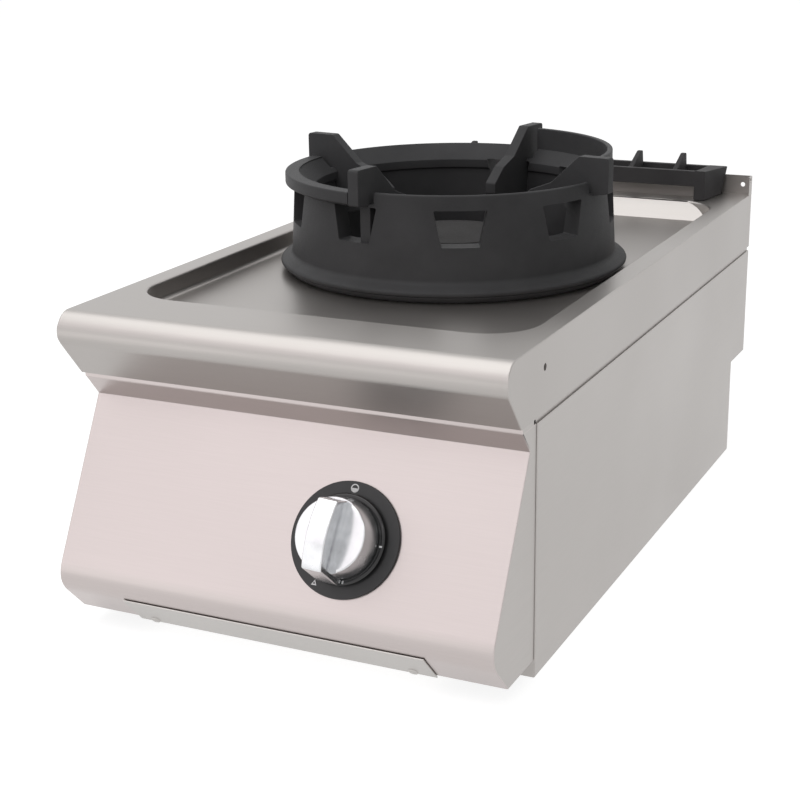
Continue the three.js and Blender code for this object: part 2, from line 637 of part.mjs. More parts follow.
const knobBack = skirtFront + GAP;
const knobFront = knobBack + KNOB_HEIGHT;
const gripFront = knobBack + GRIP_HEIGHT;
function makeKnob() {
  const round = turned([
    [0, knobBack], [KNOB_RADIUS, knobBack],
    [KNOB_RADIUS - KNOB_TAPER, knobFront - 2], [KNOB_RADIUS - KNOB_TAPER - 2, knobFront], [0, knobFront],
  ], MEDIUM);
  const crown = [0, 0.25, 0.5, 0.75, 1].map((share) => [
    GRIP_UP - share * (GRIP_UP + GRIP_DOWN),
    gripFront - GRIP_CROWN * (2 * share - 1) ** 2,
  ]);
  const outline = [[-GRIP_FOOT_DOWN, knobBack], [GRIP_FOOT_UP, knobBack], ...crown];
  const shape = new THREE.Shape(outline.map(([y, z]) => new THREE.Vector2(y, z)));
  const bar = new THREE.ExtrudeGeometry(shape, { depth: GRIP_WIDTH, bevelEnabled: false });
  bar.translate(0, 0, -GRIP_WIDTH / 2);
  const upPanel = new THREE.Vector3(0, 1, 0);
  const outwards = new THREE.Vector3(0, 0, 1);
  const rightwards = new THREE.Vector3(1, 0, 0);
  bar.applyMatrix4(new THREE.Matrix4().makeBasis(upPanel, outwards, rightwards));
  bar.rotateZ(radians(GRIP_TURN));
  return cut(join(round, solid(bar)), rod(local(0, 0, knobBack - 1), local(0, 0, knobFront), stemClear));
}
place('control_knob', makeKnob(), chrome, valveGroup);

place('valve_stem', rod(local(0, 0, -STEM_DEPTH), local(0, 0, knobFront - GAP), STEM_RADIUS),
  zinc, valveGroup);

// ---------------------------------------------------------------- gas valve

const valveFront = -BODY_SHEET - GAP;
const flangeBack = valveFront - VALVE_FLANGE_THICKNESS;
const neckBack = valveFront - VALVE_NECK_DEPTH;
const valveBack = neckBack - VALVE_LENGTH;
const boreRadius = PLUG_RADIUS + GAP;
const plugFront = valveFront - VALVE_FRONT_WALL - GAP;
const plugBack = plugFront - PLUG_LENGTH;
const portLevel = (neckBack + valveBack) / 2;
const valveHalf = VALVE_WIDTH / 2;

/** A box in the panel's local frame. */
function localBlock([x0, x1], [y0, y1], [z0, z1]) {
  const geometry = new THREE.BoxGeometry(x1 - x0, y1 - y0, z1 - z0);
  geometry.translate((x0 + x1) / 2, (y0 + y1) / 2, (z0 + z1) / 2);
  return solid(geometry);
}

function makeValveBody() {
  const gasEnd = valveHalf + GAS_BOSS_LENGTH;
  const smallEnd = valveHalf + SMALL_BOSS_LENGTH;
  const whole = join(
    localBlock(both(VALVE_FLANGE_LENGTH / 2), both(VALVE_FLANGE_WIDTH / 2), [flangeBack, valveFront]),
    rod(local(0, 0, neckBack - 1), local(0, 0, valveFront - GAP), VALVE_NECK_RADIUS),
    localBlock(both(valveHalf), both(valveHalf), [valveBack, neckBack]),
    rod(local(-gasEnd, 0, portLevel), local(gasEnd, 0, portLevel), GAS_BOSS_RADIUS),
    rod(local(0, -smallEnd, portLevel), local(0, smallEnd, portLevel), SMALL_BOSS_RADIUS),
  );
  return cut(
    whole,
    rod(local(0, 0, valveBack - 1), local(0, 0, plugFront + GAP), boreRadius, MEDIUM),
    rod(local(0, 0, valveBack), local(0, 0, 1), STEM_RADIUS + GAP),
    rod(local(-gasEnd - 1, 0, portLevel), local(gasEnd + 1, 0, portLevel), GAS_PORT_RADIUS),
    rod(local(0, -smallEnd - 1, portLevel), local(0, smallEnd + 1, portLevel), SMALL_PORT_RADIUS, 12),
    ...screwXs.map((x) => rod(local(x, 0, flangeBack - 1), local(x, 0, 1), screwHole, 12)),
  );
}
place('valve_body', makeValveBody(), brass, valveGroup);

place('valve_plug', cut(
  rod(local(0, 0, plugBack), local(0, 0, plugFront), PLUG_RADIUS, MEDIUM),
  rod(local(0, 0, plugFront - SOCKET_DEPTH), local(0, 0, plugFront + 1), STEM_RADIUS + GAP),
  rod(local(0, -boreRadius, portLevel), local(0, boreRadius, portLevel), GAS_PORT_RADIUS),
), brass, valveGroup);

const spigotFront = Math.max(plugBack - GAP, valveBack);
place('valve_cap', join(
  rod(local(0, 0, valveBack - GAP - VALVE_CAP_THICKNESS), local(0, 0, valveBack - GAP),
    VALVE_CAP_RADIUS, 6),
  rod(local(0, 0, valveBack - GAP - 1), local(0, 0, spigotFront), PLUG_RADIUS, MEDIUM),
), brass, valveGroup);

screwXs.forEach((x, index) => place(`valve_screw_${SIDES[index][0]}`, join(
  rod(local(x, 0, -VALVE_SCREW_LENGTH), local(x, 0, 1), VALVE_SCREW_RADIUS, 12),
  rod(local(x, 0, GAP), local(x, 0, VALVE_SCREW_HEAD), 2 * VALVE_SCREW_RADIUS, 12),
), zinc, valveGroup));

// ---------------------------------------------------------------- gas inlet and pipes

const hexEnd = recessFront - GAP;
const locknutStart = recessFront + BODY_SHEET + GAP;
const nippleEnd = locknutStart + INLET_HEX_LENGTH + GAP;
place('gas_inlet', cut(
  join(
    rod(inletAxis(hexEnd - INLET_HEX_LENGTH - INLET_STUB), inletAxis(nippleEnd), INLET_RADIUS),
    rod(inletAxis(hexEnd - INLET_HEX_LENGTH), inletAxis(hexEnd), INLET_HEX, 6),
  ),
  rod(inletAxis(hexEnd - INLET_HEX_LENGTH - INLET_STUB - 1), inletAxis(nippleEnd + 1), INLET_BORE),
), brass);
place('inlet_locknut', cut(
  rod(inletAxis(locknutStart), inletAxis(locknutStart + INLET_HEX_LENGTH), INLET_HEX, 6),
  rod(inletAxis(locknutStart - 1), inletAxis(locknutStart + INLET_HEX_LENGTH + 1), INLET_RADIUS + GAP),
), brass);

const gasPort = (side) => onPanel(side * (valveHalf + GAS_BOSS_LENGTH + GAP), 0, portLevel);
const inletPort = gasPort(1);
const feedPort = gasPort(-1);
place('inlet_pipe', pipe([
  inletAxis(nippleEnd + GAP),
  new THREE.Vector3(inletX, inletPort.y, INLET_HEIGHT),
  new THREE.Vector3(inletX, inletPort.y, inletPort.z),
  inletPort,
], MAIN_PIPE_RADIUS, { bore: MAIN_PIPE_BORE }), zinc);

// ---------------------------------------------------------------- burner

const bowlRim = panFloor + BOWL_RISE;
const bowlBottom = bowlRim - BOWL_HEIGHT;
const bowlThroat = VENTURI_BORE + VENTURI_WALL;
const venturiLevel = bowlBottom - bowlThroat + CASTING_WALL;
const venturiEnd = BURNER_FORWARD + VENTURI_LENGTH;
const axisAt = (up) => point(0, BURNER_FORWARD, up);
const venturiAt = (forward) => point(0, forward, venturiLevel);
const bracketTop = venturiLevel - bowlThroat - GAP;
const earTop = bowlRim - EAR_DROP;

/** A place beside the burner, by its angle from +X and its distance from the axis. */
function besideBurner(angle, distance, up) {
  const turn = radians(angle);
  return point(distance * Math.cos(turn), BURNER_FORWARD - distance * Math.sin(turn), up);
}

const onBurner = (profile, sides) => turned(profile, sides, BURNER_FORWARD);

function makeBowl() {
  const taper = BOWL_HEIGHT / 2;
  const wall = CASTING_WALL;
  const outer = onBurner([
    [0, bowlBottom], [bowlThroat, bowlBottom], [BOWL_RADIUS, bowlBottom + taper],
    [BOWL_RADIUS, bowlRim], [0, bowlRim],
  ], MEDIUM);
  const inner = onBurner([
    [0, bowlBottom + wall], [VENTURI_BORE, bowlBottom + wall],
    [BOWL_RADIUS - wall, bowlBottom + taper + wall],
    [BOWL_RADIUS - wall, bowlRim + 1], [0, bowlRim + 1],
  ], MEDIUM);
  const bosses = both(BOSS_SPACING / 2).map((x) => rod(
    point(x, BURNER_FORWARD, bracketTop + GAP), point(x, BURNER_FORWARD, bowlRim - taper), BOSS_RADIUS));
  const ears = [PILOT_TURN, PROBE_TURN].map((turn) => {
    const reach = PILOT_OFFSET + EAR_WIDTH / 2;
    const ear = new THREE.BoxGeometry(reach - BOWL_RADIUS + 2, EAR_WIDTH, EAR_THICKNESS);
    ear.translate((reach + BOWL_RADIUS - 2) / 2, 0, earTop - EAR_THICKNESS / 2);
    ear.rotateZ(radians(turn));
    ear.translate(0, -BURNER_FORWARD, 0);
    return solid(ear);
  });
  const whole = join(
    outer,
    rod(axisAt(venturiLevel), axisAt(bowlBottom + 1), bowlThroat),
    rod(venturiAt(BURNER_FORWARD - bowlThroat), venturiAt(venturiEnd), bowlThroat),
    ...bosses,
    ...ears,
  );
  const earHole = (turn, radius) => rod(besideBurner(turn, PILOT_OFFSET, earTop - EAR_THICKNESS - 1),
    besideBurner(turn, PILOT_OFFSET, earTop + 1), radius + GAP, 12);
  return cut(
    whole,
    inner,
    rod(axisAt(venturiLevel), axisAt(bowlBottom + wall + 1), VENTURI_BORE),
    rod(venturiAt(BURNER_FORWARD), venturiAt(venturiEnd + 1), VENTURI_BORE),
    earHole(PILOT_TURN, PILOT_PIPE_RADIUS),
    earHole(PROBE_TURN, PROBE_RADIUS),
    ...both(BOSS_SPACING / 2).map((x) => rod(point(x, BURNER_FORWARD, bracketTop),
      point(x, BURNER_FORWARD, bracketTop + BRACKET_LIP), VALVE_SCREW_RADIUS + GAP, 12)),
  );
}
place('burner_bowl', makeBowl(), castIron);

const crownBottom = bowlRim + GAP;
const crownTop = crownBottom + CROWN_HEIGHT;
const crownBore = BOWL_RADIUS - CROWN_WALL;
function makeCrown() {
  const ring = onBurner([
    [crownBore, crownBottom], [BOWL_RADIUS, crownBottom],
    [BOWL_RADIUS - 3, crownTop], [crownBore, crownTop],
  ], MEDIUM);
  const slots = [];
  for (let i = 0; i < FLAME_SLOTS; i += 1) {
    const slot = new THREE.BoxGeometry(BOWL_RADIUS, FLAME_SLOT_WIDTH, 2 * FLAME_SLOT_DEPTH);
    slot.translate(crownBore + CASTING_WALL + BOWL_RADIUS / 2, 0, crownTop);
    slot.rotateZ((2 * Math.PI * i) / FLAME_SLOTS);
    slot.translate(0, -BURNER_FORWARD, 0);
    slots.push(solid(slot));
  }
  return cut(ring, ...slots);
}
place('burner_crown', makeCrown(), castIron);

const capBottom = crownTop + GAP;
place('burner_cap', onBurner([
  [0, capBottom - CAP_SPIGOT], [crownBore - 2, capBottom - CAP_SPIGOT], [crownBore - 2, capBottom],
  [BOWL_RADIUS - 5, capBottom], [BOWL_RADIUS - 8, capBottom + CAP_HEIGHT - CAP_DOME],
  [BOWL_RADIUS / 2, capBottom + CAP_HEIGHT - 1], [0, capBottom + CAP_HEIGHT],
], MEDIUM), castIron);

const bracketSpan = [BURNER_FORWARD - BRACKET_DEPTH / 2, BURNER_FORWARD + BRACKET_DEPTH / 2];
const bracketBottom = bracketTop - BRACKET_LIP;
place('burner_bracket', cut(
  join(
    block(both(between), bracketSpan, [bracketTop - BODY_SHEET, bracketTop]),
    block(both(between), [bracketSpan[0], bracketSpan[0] + BODY_SHEET], [bracketBottom, bracketTop]),
    block(both(between), [bracketSpan[1] - BODY_SHEET, bracketSpan[1]], [bracketBottom, bracketTop]),
    ...SIDES.map(([, side]) => block(strip(side, between - BODY_SHEET, between), bracketSpan,
      [bracketBottom, bracketTop])),
  ),
  ...both(BOSS_SPACING / 2).map((x) => rod(point(x, BURNER_FORWARD, bracketBottom),
    point(x, BURNER_FORWARD, bracketTop + 1), VALVE_SCREW_RADIUS + GAP, 12)),
), steel);

const bracketScrewHead = bracketTop - BODY_SHEET - GAP;
both(BOSS_SPACING / 2).forEach((x, index) => place(`burner_screw_${SIDES[index][0]}`, join(
  rod(point(x, BURNER_FORWARD, bracketScrewHead - 1), point(x, BURNER_FORWARD, bracketTop + BRACKET_LIP - 1),
    VALVE_SCREW_RADIUS, 12),
  rod(point(x, BURNER_FORWARD, bracketScrewHead - 2), point(x, BURNER_FORWARD, bracketScrewHead),
    2 * VALVE_SCREW_RADIUS, 6),
), zinc));

// ---------------------------------------------------------------- injector and air shutter

const shutterInner = bowlThroat + GAP;
const shutterStart = venturiEnd - SHUTTER_OVERLAP;
const shutterEnd = shutterStart + SHUTTER_LENGTH;
const airWindow = [venturiEnd + 2, shutterEnd - SHUTTER_WALL - 2];
place('air_shutter', cut(
  rod(venturiAt(shutterStart), venturiAt(shutterEnd), shutterInner + SHUTTER_WALL, MEDIUM),
  rod(venturiAt(shutterStart - 1), venturiAt(shutterEnd - SHUTTER_WALL), shutterInner, MEDIUM),
  rod(venturiAt(shutterEnd - 2 * SHUTTER_WALL), venturiAt(shutterEnd + 1), HOLDER_RADIUS + GAP),
  block([-2 * bowlThroat, 2 * bowlThroat], airWindow,
    [venturiLevel - bowlThroat / 2, venturiLevel + bowlThroat / 2]),
), zinc);

const holderStart = shutterEnd - SHUTTER_WALL - INJECTOR_LENGTH / 2;
const holderEnd = holderStart + HOLDER_LENGTH;
place('injector_holder', cut(
  rod(venturiAt(holderStart), venturiAt(holderEnd), HOLDER_RADIUS),
  rod(venturiAt(holderStart - 1), venturiAt(holderEnd + 1), FEED_PIPE_BORE),
), brass);
place('injector', cut(
  join(
    rod(venturiAt(holderStart - GAP - INJECTOR_LENGTH), venturiAt(holderStart - GAP), INJECTOR_RADIUS, 6),
    rod(venturiAt(holderStart - GAP - 1), venturiAt(holderStart + INJECTOR_LENGTH), FEED_PIPE_BORE - GAP),
  ),
  rod(venturiAt(holderStart - INJECTOR_LENGTH - 1), venturiAt(holderStart + INJECTOR_LENGTH + 1), 1, 8),
), brass);

place('burner_feed_pipe', pipe([
  feedPort,
  new THREE.Vector3(0, feedPort.y, feedPort.z),
  point(0, holderEnd + 2 * PIPE_BEND + HOLDER_LENGTH, venturiLevel),
  venturiAt(holderEnd + GAP),
], FEED_PIPE_RADIUS, { bore: FEED_PIPE_BORE }), copper);

// ---------------------------------------------------------------- pilot burner and thermocouple

const smallPort = (side) => onPanel(0, side * (valveHalf + SMALL_BOSS_LENGTH + GAP), portLevel);
const offPort = (side, more) => onPanel(0, side * (valveHalf + SMALL_BOSS_LENGTH + GAP + more), portLevel);
const pilotBase = besideBurner(PILOT_TURN, PILOT_OFFSET, earTop + GAP);
place('pilot_burner', join(
  rod(pilotBase, besideBurner(PILOT_TURN, PILOT_OFFSET, earTop + GAP + PILOT_HEIGHT), PILOT_RADIUS),
  rod(pilotBase, besideBurner(PILOT_TURN, PILOT_OFFSET, earTop + GAP + PILOT_RADIUS), PILOT_RADIUS + 2, 6),
), brass);
const below = (spot, up) => new THREE.Vector3(spot.x, spot.y, up);
place('pilot_pipe', pipe([
  below(pilotBase, earTop),
  below(pilotBase, venturiLevel),
  point(pilotBase.x, venturiEnd, venturiLevel),
  new THREE.Vector3(KNOB_X, offPort(1, PIPE_BEND).y + PIPE_BEND, venturiLevel - PIPE_BEND),
  offPort(1, PIPE_BEND),
  smallPort(1),
], PILOT_PIPE_RADIUS, { sides: 6, steps: 36 }), copper);

const probeBase = besideBurner(PROBE_TURN, PILOT_OFFSET, earTop);
const leadSide = KNOB_X + VALVE_WIDTH + GAS_BOSS_LENGTH + LEAD_RADIUS;
place('thermocouple', join(
  rod(below(probeBase, earTop - 2 * EAR_THICKNESS), below(probeBase, earTop + PILOT_HEIGHT), PROBE_RADIUS),
  pipe([
    below(probeBase, earTop - EAR_THICKNESS),
    below(probeBase, LEAD_HEIGHT),
    point(leadSide, venturiEnd, LEAD_HEIGHT),
    new THREE.Vector3(leadSide, offPort(-1, PIPE_BEND / 2).y + 2 * PIPE_BEND, INLET_HEIGHT + PIPE_BEND),
    offPort(-1, PIPE_BEND),
    smallPort(-1),
  ], LEAD_RADIUS, { sides: 6, steps: 40 }),
), copper);

// ---------------------------------------------------------------- wok ring

const ringBottom = panFloor + GAP + BASE_HEIGHT + GAP;
const rimTop = ringBottom + RIM_HEIGHT;
place('ring_base', onBurner([
  [BASE_BORE, panFloor + GAP], [BASE_FOOT_RADIUS, panFloor + GAP],
  [BASE_RADIUS, panFloor + GAP + BASE_HEIGHT], [BASE_BORE, panFloor + GAP + BASE_HEIGHT],
]), castIron);

/** A flat plate standing on a radius of the ring: its outline is in [radius, height]. */
function radialPlate(outline, thickness, angle, sideways = 0) {
  const shape = new THREE.Shape(outline.map(([radius, height]) => new THREE.Vector2(radius, height)));
  const geometry = new THREE.ExtrudeGeometry(shape, { depth: thickness, bevelEnabled: false });
  geometry.rotateX(Math.PI / 2);
  geometry.translate(0, thickness / 2 + sideways, 0);
  geometry.rotateZ(radians(angle));
  geometry.translate(0, -BURNER_FORWARD, 0);
  return solid(geometry);
}

/** A band of the ring between two angles, cut from a full turned profile by two wedges' overlap. */
function sector(profile, from, to) {
  const reach = 2 * FOOT_RADIUS;
  const wedge = new THREE.Shape();
  wedge.moveTo(0, 0);
  for (let i = 0; i <= ARC_STEPS; i += 1) {
    const angle = radians(from + ((to - from) * i) / ARC_STEPS);
    wedge.lineTo(reach * Math.cos(angle), reach * Math.sin(angle));
  }
  const geometry = new THREE.ExtrudeGeometry(wedge, { depth: 2 * FIN_HEIGHT, bevelEnabled: false });
  geometry.translate(0, -BURNER_FORWARD, ringBottom - FIN_HEIGHT / 2);
  return onBurner(profile).intersect(solid(geometry));
}

function makeWokRing() {
  const edge = FOOT_EDGE;
  const seatTop = rimTop - SEAT_DROP;
  const wall = onBurner([
    [RING_BORE + 1, ringBottom], [FOOT_RADIUS - edge, ringBottom], [FOOT_RADIUS, ringBottom + edge],
    [FOOT_RADIUS - edge / 2, ringBottom + 2 * edge], [WALL_RADIUS_FOOT, ringBottom + FOOT_HEIGHT],
    [WALL_RADIUS_RIM, rimTop - 1], [WALL_RADIUS_RIM - 1, rimTop], [WALL_RADIUS_RIM - 2.5, rimTop],
    [SEAT_RADIUS + 1, seatTop], [SEAT_RADIUS, seatTop - 1], [SEAT_RADIUS, seatTop - SEAT_LIP],
    [RING_BORE, seatTop - SEAT_LIP - 1],
  ]);
  const shield = sector([
    [WALL_RADIUS_RIM - SHIELD_WALL, seatTop], [WALL_RADIUS_RIM + 0.2, seatTop],
    [WALL_RADIUS_RIM, ringBottom + SHIELD_HEIGHT],
    [WALL_RADIUS_RIM - SHIELD_WALL, ringBottom + SHIELD_HEIGHT],
  ], FIN_TURN, FIN_TURN + 90);
  const lobe = sector([
    [WALL_RADIUS_RIM - 4, rimTop - LOBE_HEIGHT], [WALL_RADIUS_RIM + 2, rimTop - LOBE_HEIGHT],
    [LOBE_RADIUS, rimTop - LOBE_HEIGHT + 4], [LOBE_RADIUS, rimTop - 1], [LOBE_RADIUS - 1, rimTop],
    [WALL_RADIUS_RIM - 4, rimTop],
  ], FIN_TURN + 180, FIN_TURN + 270);
  const finTop = ringBottom + FIN_HEIGHT;
  const finOutline = [
    [RING_BORE, ringBottom + FIN_FOOT], [WALL_RADIUS_RIM - 2, ringBottom + FIN_FOOT],
    [WALL_RADIUS_RIM - 2, finTop - FIN_LUG - 3], [FIN_RADIUS, finTop - FIN_LUG],
    [FIN_RADIUS, finTop - 1], [FIN_RADIUS - 1, finTop], [SEAT_RADIUS + 5, finTop],
    ...FIN_EDGE.map(([inwards, down]) => [SEAT_RADIUS + 5 - inwards, finTop - down]),
    [FIN_REACH, finTop - FIN_TOE[0]], [FIN_REACH, finTop - FIN_TOE[1]],
    [FIN_REACH + FIN_UNDERCUT[0], finTop - FIN_TOE[1] - FIN_UNDERCUT[1]],
  ];
  const notchOutline = [
    [SEAT_RADIUS - 1, rimTop - NOTCH_DEPTH], [FOOT_RADIUS, rimTop - NOTCH_DEPTH],
    [FOOT_RADIUS, finTop + 1], [SEAT_RADIUS - 1, finTop + 1],
  ];
  const fins = [];
  const notches = [];
  for (let i = 0; i < FIN_COUNT; i += 1) {
    const angle = FIN_TURN + (360 * i) / FIN_COUNT;
    fins.push(radialPlate(finOutline, FIN_WIDTH, angle));
    const sideways = (FIN_WIDTH + NOTCH_WIDTH) / 2;
    notches.push(radialPlate(notchOutline, NOTCH_WIDTH, angle, sideways));
    notches.push(radialPlate(notchOutline, NOTCH_WIDTH, angle, -sideways));
  }
  const windows = [];
  for (let i = 0; i < WINDOW_COUNT; i += 1) {
    const shape = new THREE.Shape([
      new THREE.Vector2(-WINDOW_BOTTOM_WIDTH / 2, ringBottom + WINDOW_BOTTOM),
      new THREE.Vector2(WINDOW_BOTTOM_WIDTH / 2, ringBottom + WINDOW_BOTTOM),
      new THREE.Vector2(WINDOW_TOP_WIDTH / 2, ringBottom + WINDOW_TOP),
      new THREE.Vector2(-WINDOW_TOP_WIDTH / 2, ringBottom + WINDOW_TOP),
    ]);
    const window = new THREE.ExtrudeGeometry(shape, { depth: FOOT_RADIUS / 2, bevelEnabled: false });
    window.rotateX(Math.PI / 2);
    window.translate(0, FOOT_RADIUS + FOOT_RADIUS / 4, 0);
    window.rotateZ(radians(WINDOW_FIRST + WINDOW_PITCH * i - 90));
    window.translate(0, -BURNER_FORWARD, 0);
    windows.push(solid(window));
  }
  return join(cut(join(wall, shield, lobe), ...notches, ...windows), ...fins);
}
place('wok_ring', makeWokRing(), castIron);

// ---------------------------------------------------------------- flue

const flueTop = DECK_HEIGHT + FLUE_RISE;
const flueSpan = [FLUE_REAR, FLUE_FRONT];
const flueHalf = FLUE_WIDTH / 2;
const grow = ([a, b], more) => [a - more, b + more];
place('flue_duct', cut(
  join(
    block(both(flueHalf), flueSpan, [DECK_HEIGHT - FLUE_DEPTH, flueTop]),
    block(both(flueHalf + FLUE_LIP), grow(flueSpan, FLUE_LIP),
      [deckUnderside - GAP - BODY_SHEET, deckUnderside - GAP]),
  ),
  block(both(flueHalf - BODY_SHEET), grow(flueSpan, -BODY_SHEET),
    [DECK_HEIGHT - FLUE_DEPTH - CUT_OVER, flueTop + CUT_OVER]),
), steel);

function makeGrille() {
  const foot = DECK_HEIGHT + GAP;
  const frontTop = DECK_HEIGHT + GRILLE_HEIGHT;
  const rearTop = DECK_HEIGHT + GRILLE_REAR_HEIGHT;
  const barBottom = frontTop - GRILLE_BAR_HEIGHT;
  const flare = GRILLE_HALF_REAR - GRILLE_HALF_FRONT;
  const ends = SIDES.map(([, side]) => {
    const outline = [[GRILLE_FRONT, foot], [GRILLE_FRONT, frontTop], [0, rearTop], [GRILLE_UNDERCUT, foot]];
    const inner = GRILLE_HALF_FRONT - GRILLE_LEG;
    const end = prism(outline, strip(side, inner, GRILLE_HALF_REAR));
    const chip = new THREE.Shape([
      new THREE.Vector2(side * GRILLE_HALF_FRONT, -GRILLE_FRONT - 1),
      new THREE.Vector2(side * (GRILLE_HALF_FRONT + flare + 2), -GRILLE_FRONT - 1),
      new THREE.Vector2(side * (GRILLE_HALF_FRONT + flare + 2), 1),
      new THREE.Vector2(side * GRILLE_HALF_REAR, 1),
    ]);
    const tool = new THREE.ExtrudeGeometry(chip, { depth: 2 * GRILLE_HEIGHT, bevelEnabled: false });
    tool.translate(0, 0, DECK_HEIGHT - GRILLE_HEIGHT / 2);
    return cut(end, solid(tool));
  });
  const span = both(GRILLE_HALF_FRONT - 1);
  const slope = (frontTop - rearTop) / GRILLE_FRONT;
  const topAt = (forward) => rearTop + slope * forward;
  const bar = (from, to, bottom) => prism(
    [[from, bottom], [to, bottom], [to, topAt(to)], [from, topAt(from)]], span);
  const finOutline = [
    [GRILLE_BAR / 2, rearTop - GRILLE_BAR], [GRILLE_FRONT - GRILLE_BAR / 2, barBottom],
    [GRILLE_FRONT - GRILLE_BAR / 2, topAt(GRILLE_FRONT - GRILLE_BAR)],
    [GRILLE_FRONT - 2 * GRILLE_BAR, topAt(GRILLE_FRONT - 2 * GRILLE_BAR)],
    [2 * GRILLE_BAR, rearTop + GRILLE_FIN_RISE], [1.3 * GRILLE_BAR, rearTop + GRILLE_FIN_RISE],
    [GRILLE_BAR, topAt(GRILLE_BAR)], [GRILLE_BAR / 2, topAt(GRILLE_BAR / 2)],
  ];
  const fins = [];
  for (let i = 0; i < GRILLE_FINS; i += 1) {
    const x = GRILLE_FIN_PITCH * (i - (GRILLE_FINS - 1) / 2);
    fins.push(prism(finOutline, [x - GRILLE_FIN_WIDTH / 2, x + GRILLE_FIN_WIDTH / 2]));
  }
  return join(
    ...ends,
    bar(GRILLE_FRONT - GRILLE_BAR, GRILLE_FRONT, barBottom),
    bar(0, GRILLE_BAR, DECK_HEIGHT + UPSTAND_HEIGHT + GAP),
    ...fins,
  );
}
place('flue_grille', makeGrille(), castIron);

// ---------------------------------------------------------------- drip tray and its runners

/** A [forward, up] point on the panel's lower flange, lifted off its outer face. */
function onFlange(distance, lift) {
  const outwards = [Math.cos(radians(FLANGE_LEAN)), -Math.sin(radians(FLANGE_LEAN))];
  return along(along(bendCorner, flangeDirection, distance), outwards, lift);
}

function makeTray() {
  const outerFace = GAP + BODY_SHEET;
  const front = [
    onFlange(TRAY_FRONT_TOP, GAP), onFlange(TRAY_FRONT_TOP, outerFace),
    onFlange(TRAY_FRONT_BOTTOM, outerFace), onFlange(TRAY_FRONT_BOTTOM, GAP),
  ];
  const atHeight = (up, lift) => meet(onFlange(0, lift), flangeDirection, [0, up], [1, 0]);
  const box = [
    [TRAY_REAR, trayBottom], [TRAY_REAR, trayTop],
    atHeight(trayTop, GAP + BODY_SHEET / 2), atHeight(trayBottom, GAP + BODY_SHEET / 2),
  ];
  const floor = trayBottom + BODY_SHEET;
  const hollow = [
    [TRAY_REAR + BODY_SHEET, floor], [TRAY_REAR + BODY_SHEET, trayTop + 1],
    atHeight(trayTop + 1, GAP), atHeight(floor, GAP),
  ];
  return cut(
    join(prism(front, both(TRAY_FRONT_HALF_WIDTH)), prism(box, both(TRAY_HALF_WIDTH))),
    prism(hollow, both(TRAY_HALF_WIDTH - BODY_SHEET)),
  );
}
place('drip_tray', makeTray(), panelSteel);

const runnerBottom = RAIL_HEIGHT + GAP;
const runnerSpan = [recessFront + BODY_SHEET + GAP, railFront];
for (const [name, side] of SIDES) {
  const wallNear = TRAY_HALF_WIDTH + TRAY_SIDE_CLEARANCE;
  const wallFar = wallNear + BODY_SHEET;
  place(`tray_runner_${name}`, join(
    block(strip(side, wallFar - RUNNER_LEDGE, wallFar), runnerSpan,
      [runnerBottom, runnerBottom + BODY_SHEET]),
    block(strip(side, wallNear, wallFar), runnerSpan, [runnerBottom, runnerBottom + RUNNER_HEIGHT]),
  ), steel);
}

// ---------------------------------------------------------------- origin

// The origin is the middle of the footprint, on the surface that the range stands on.
range.updateMatrixWorld(true);
const extent = new THREE.Box3().setFromObject(range, true);
range.position.y = -(extent.min.y + extent.max.y) / 2;

export default range;
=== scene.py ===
# %% [markdown]
# # A table-top gas wok range
# The range is a folded steel body with a pressed worktop, a cast-iron wok ring and one gas tap.
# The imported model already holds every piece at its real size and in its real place, so this lesson
# only dresses it: the pieces that show are modelled again with soft folds, round castings and a
# finish each, and the pieces inside keep their shape and get a finish.

# %% Load the frame
import json
from math import cos, pi, radians, sin, tan

import bmesh
import bpy
from mathutils import Matrix, Vector


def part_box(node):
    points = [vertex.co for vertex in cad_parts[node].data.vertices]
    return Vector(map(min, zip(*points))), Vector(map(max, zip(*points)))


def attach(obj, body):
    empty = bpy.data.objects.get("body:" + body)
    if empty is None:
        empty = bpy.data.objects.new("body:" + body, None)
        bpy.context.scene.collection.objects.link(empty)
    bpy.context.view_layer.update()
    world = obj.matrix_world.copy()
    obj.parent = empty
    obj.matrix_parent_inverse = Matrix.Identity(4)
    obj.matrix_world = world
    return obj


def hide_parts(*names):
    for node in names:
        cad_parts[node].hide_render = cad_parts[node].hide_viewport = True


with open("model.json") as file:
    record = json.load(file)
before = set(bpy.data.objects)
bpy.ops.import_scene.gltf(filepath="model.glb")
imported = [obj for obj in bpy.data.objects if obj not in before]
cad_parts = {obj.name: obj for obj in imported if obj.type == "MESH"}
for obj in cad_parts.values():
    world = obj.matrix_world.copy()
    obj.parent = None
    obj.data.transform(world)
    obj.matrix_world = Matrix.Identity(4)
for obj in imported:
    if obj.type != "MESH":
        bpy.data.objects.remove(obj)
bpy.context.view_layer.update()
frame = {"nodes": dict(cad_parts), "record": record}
MM = 0.001
REAR_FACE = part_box("worktop")[1].y / MM
RIGHT = Vector((1, 0, 0))
UP = Vector((0, 0, 1))

# %% [markdown]
# ## The camera
# A photograph's camera is known once three of its lines are: where the lens stands, which way it
# looks and how long it is. Here they come from fitting the range's own edges, so the numbers are a
# place in millimetres, three angles and a focal length.

# %% Camera
CAMERA_PLACE = Vector((623.6, REAR_FACE - 1808.6, 620.4)) * MM
CAMERA_AZIMUTH = radians(25.334)
CAMERA_ELEVATION = radians(17.533)
CAMERA_ROLL = radians(-0.754)
CAMERA_LENS = 74.80

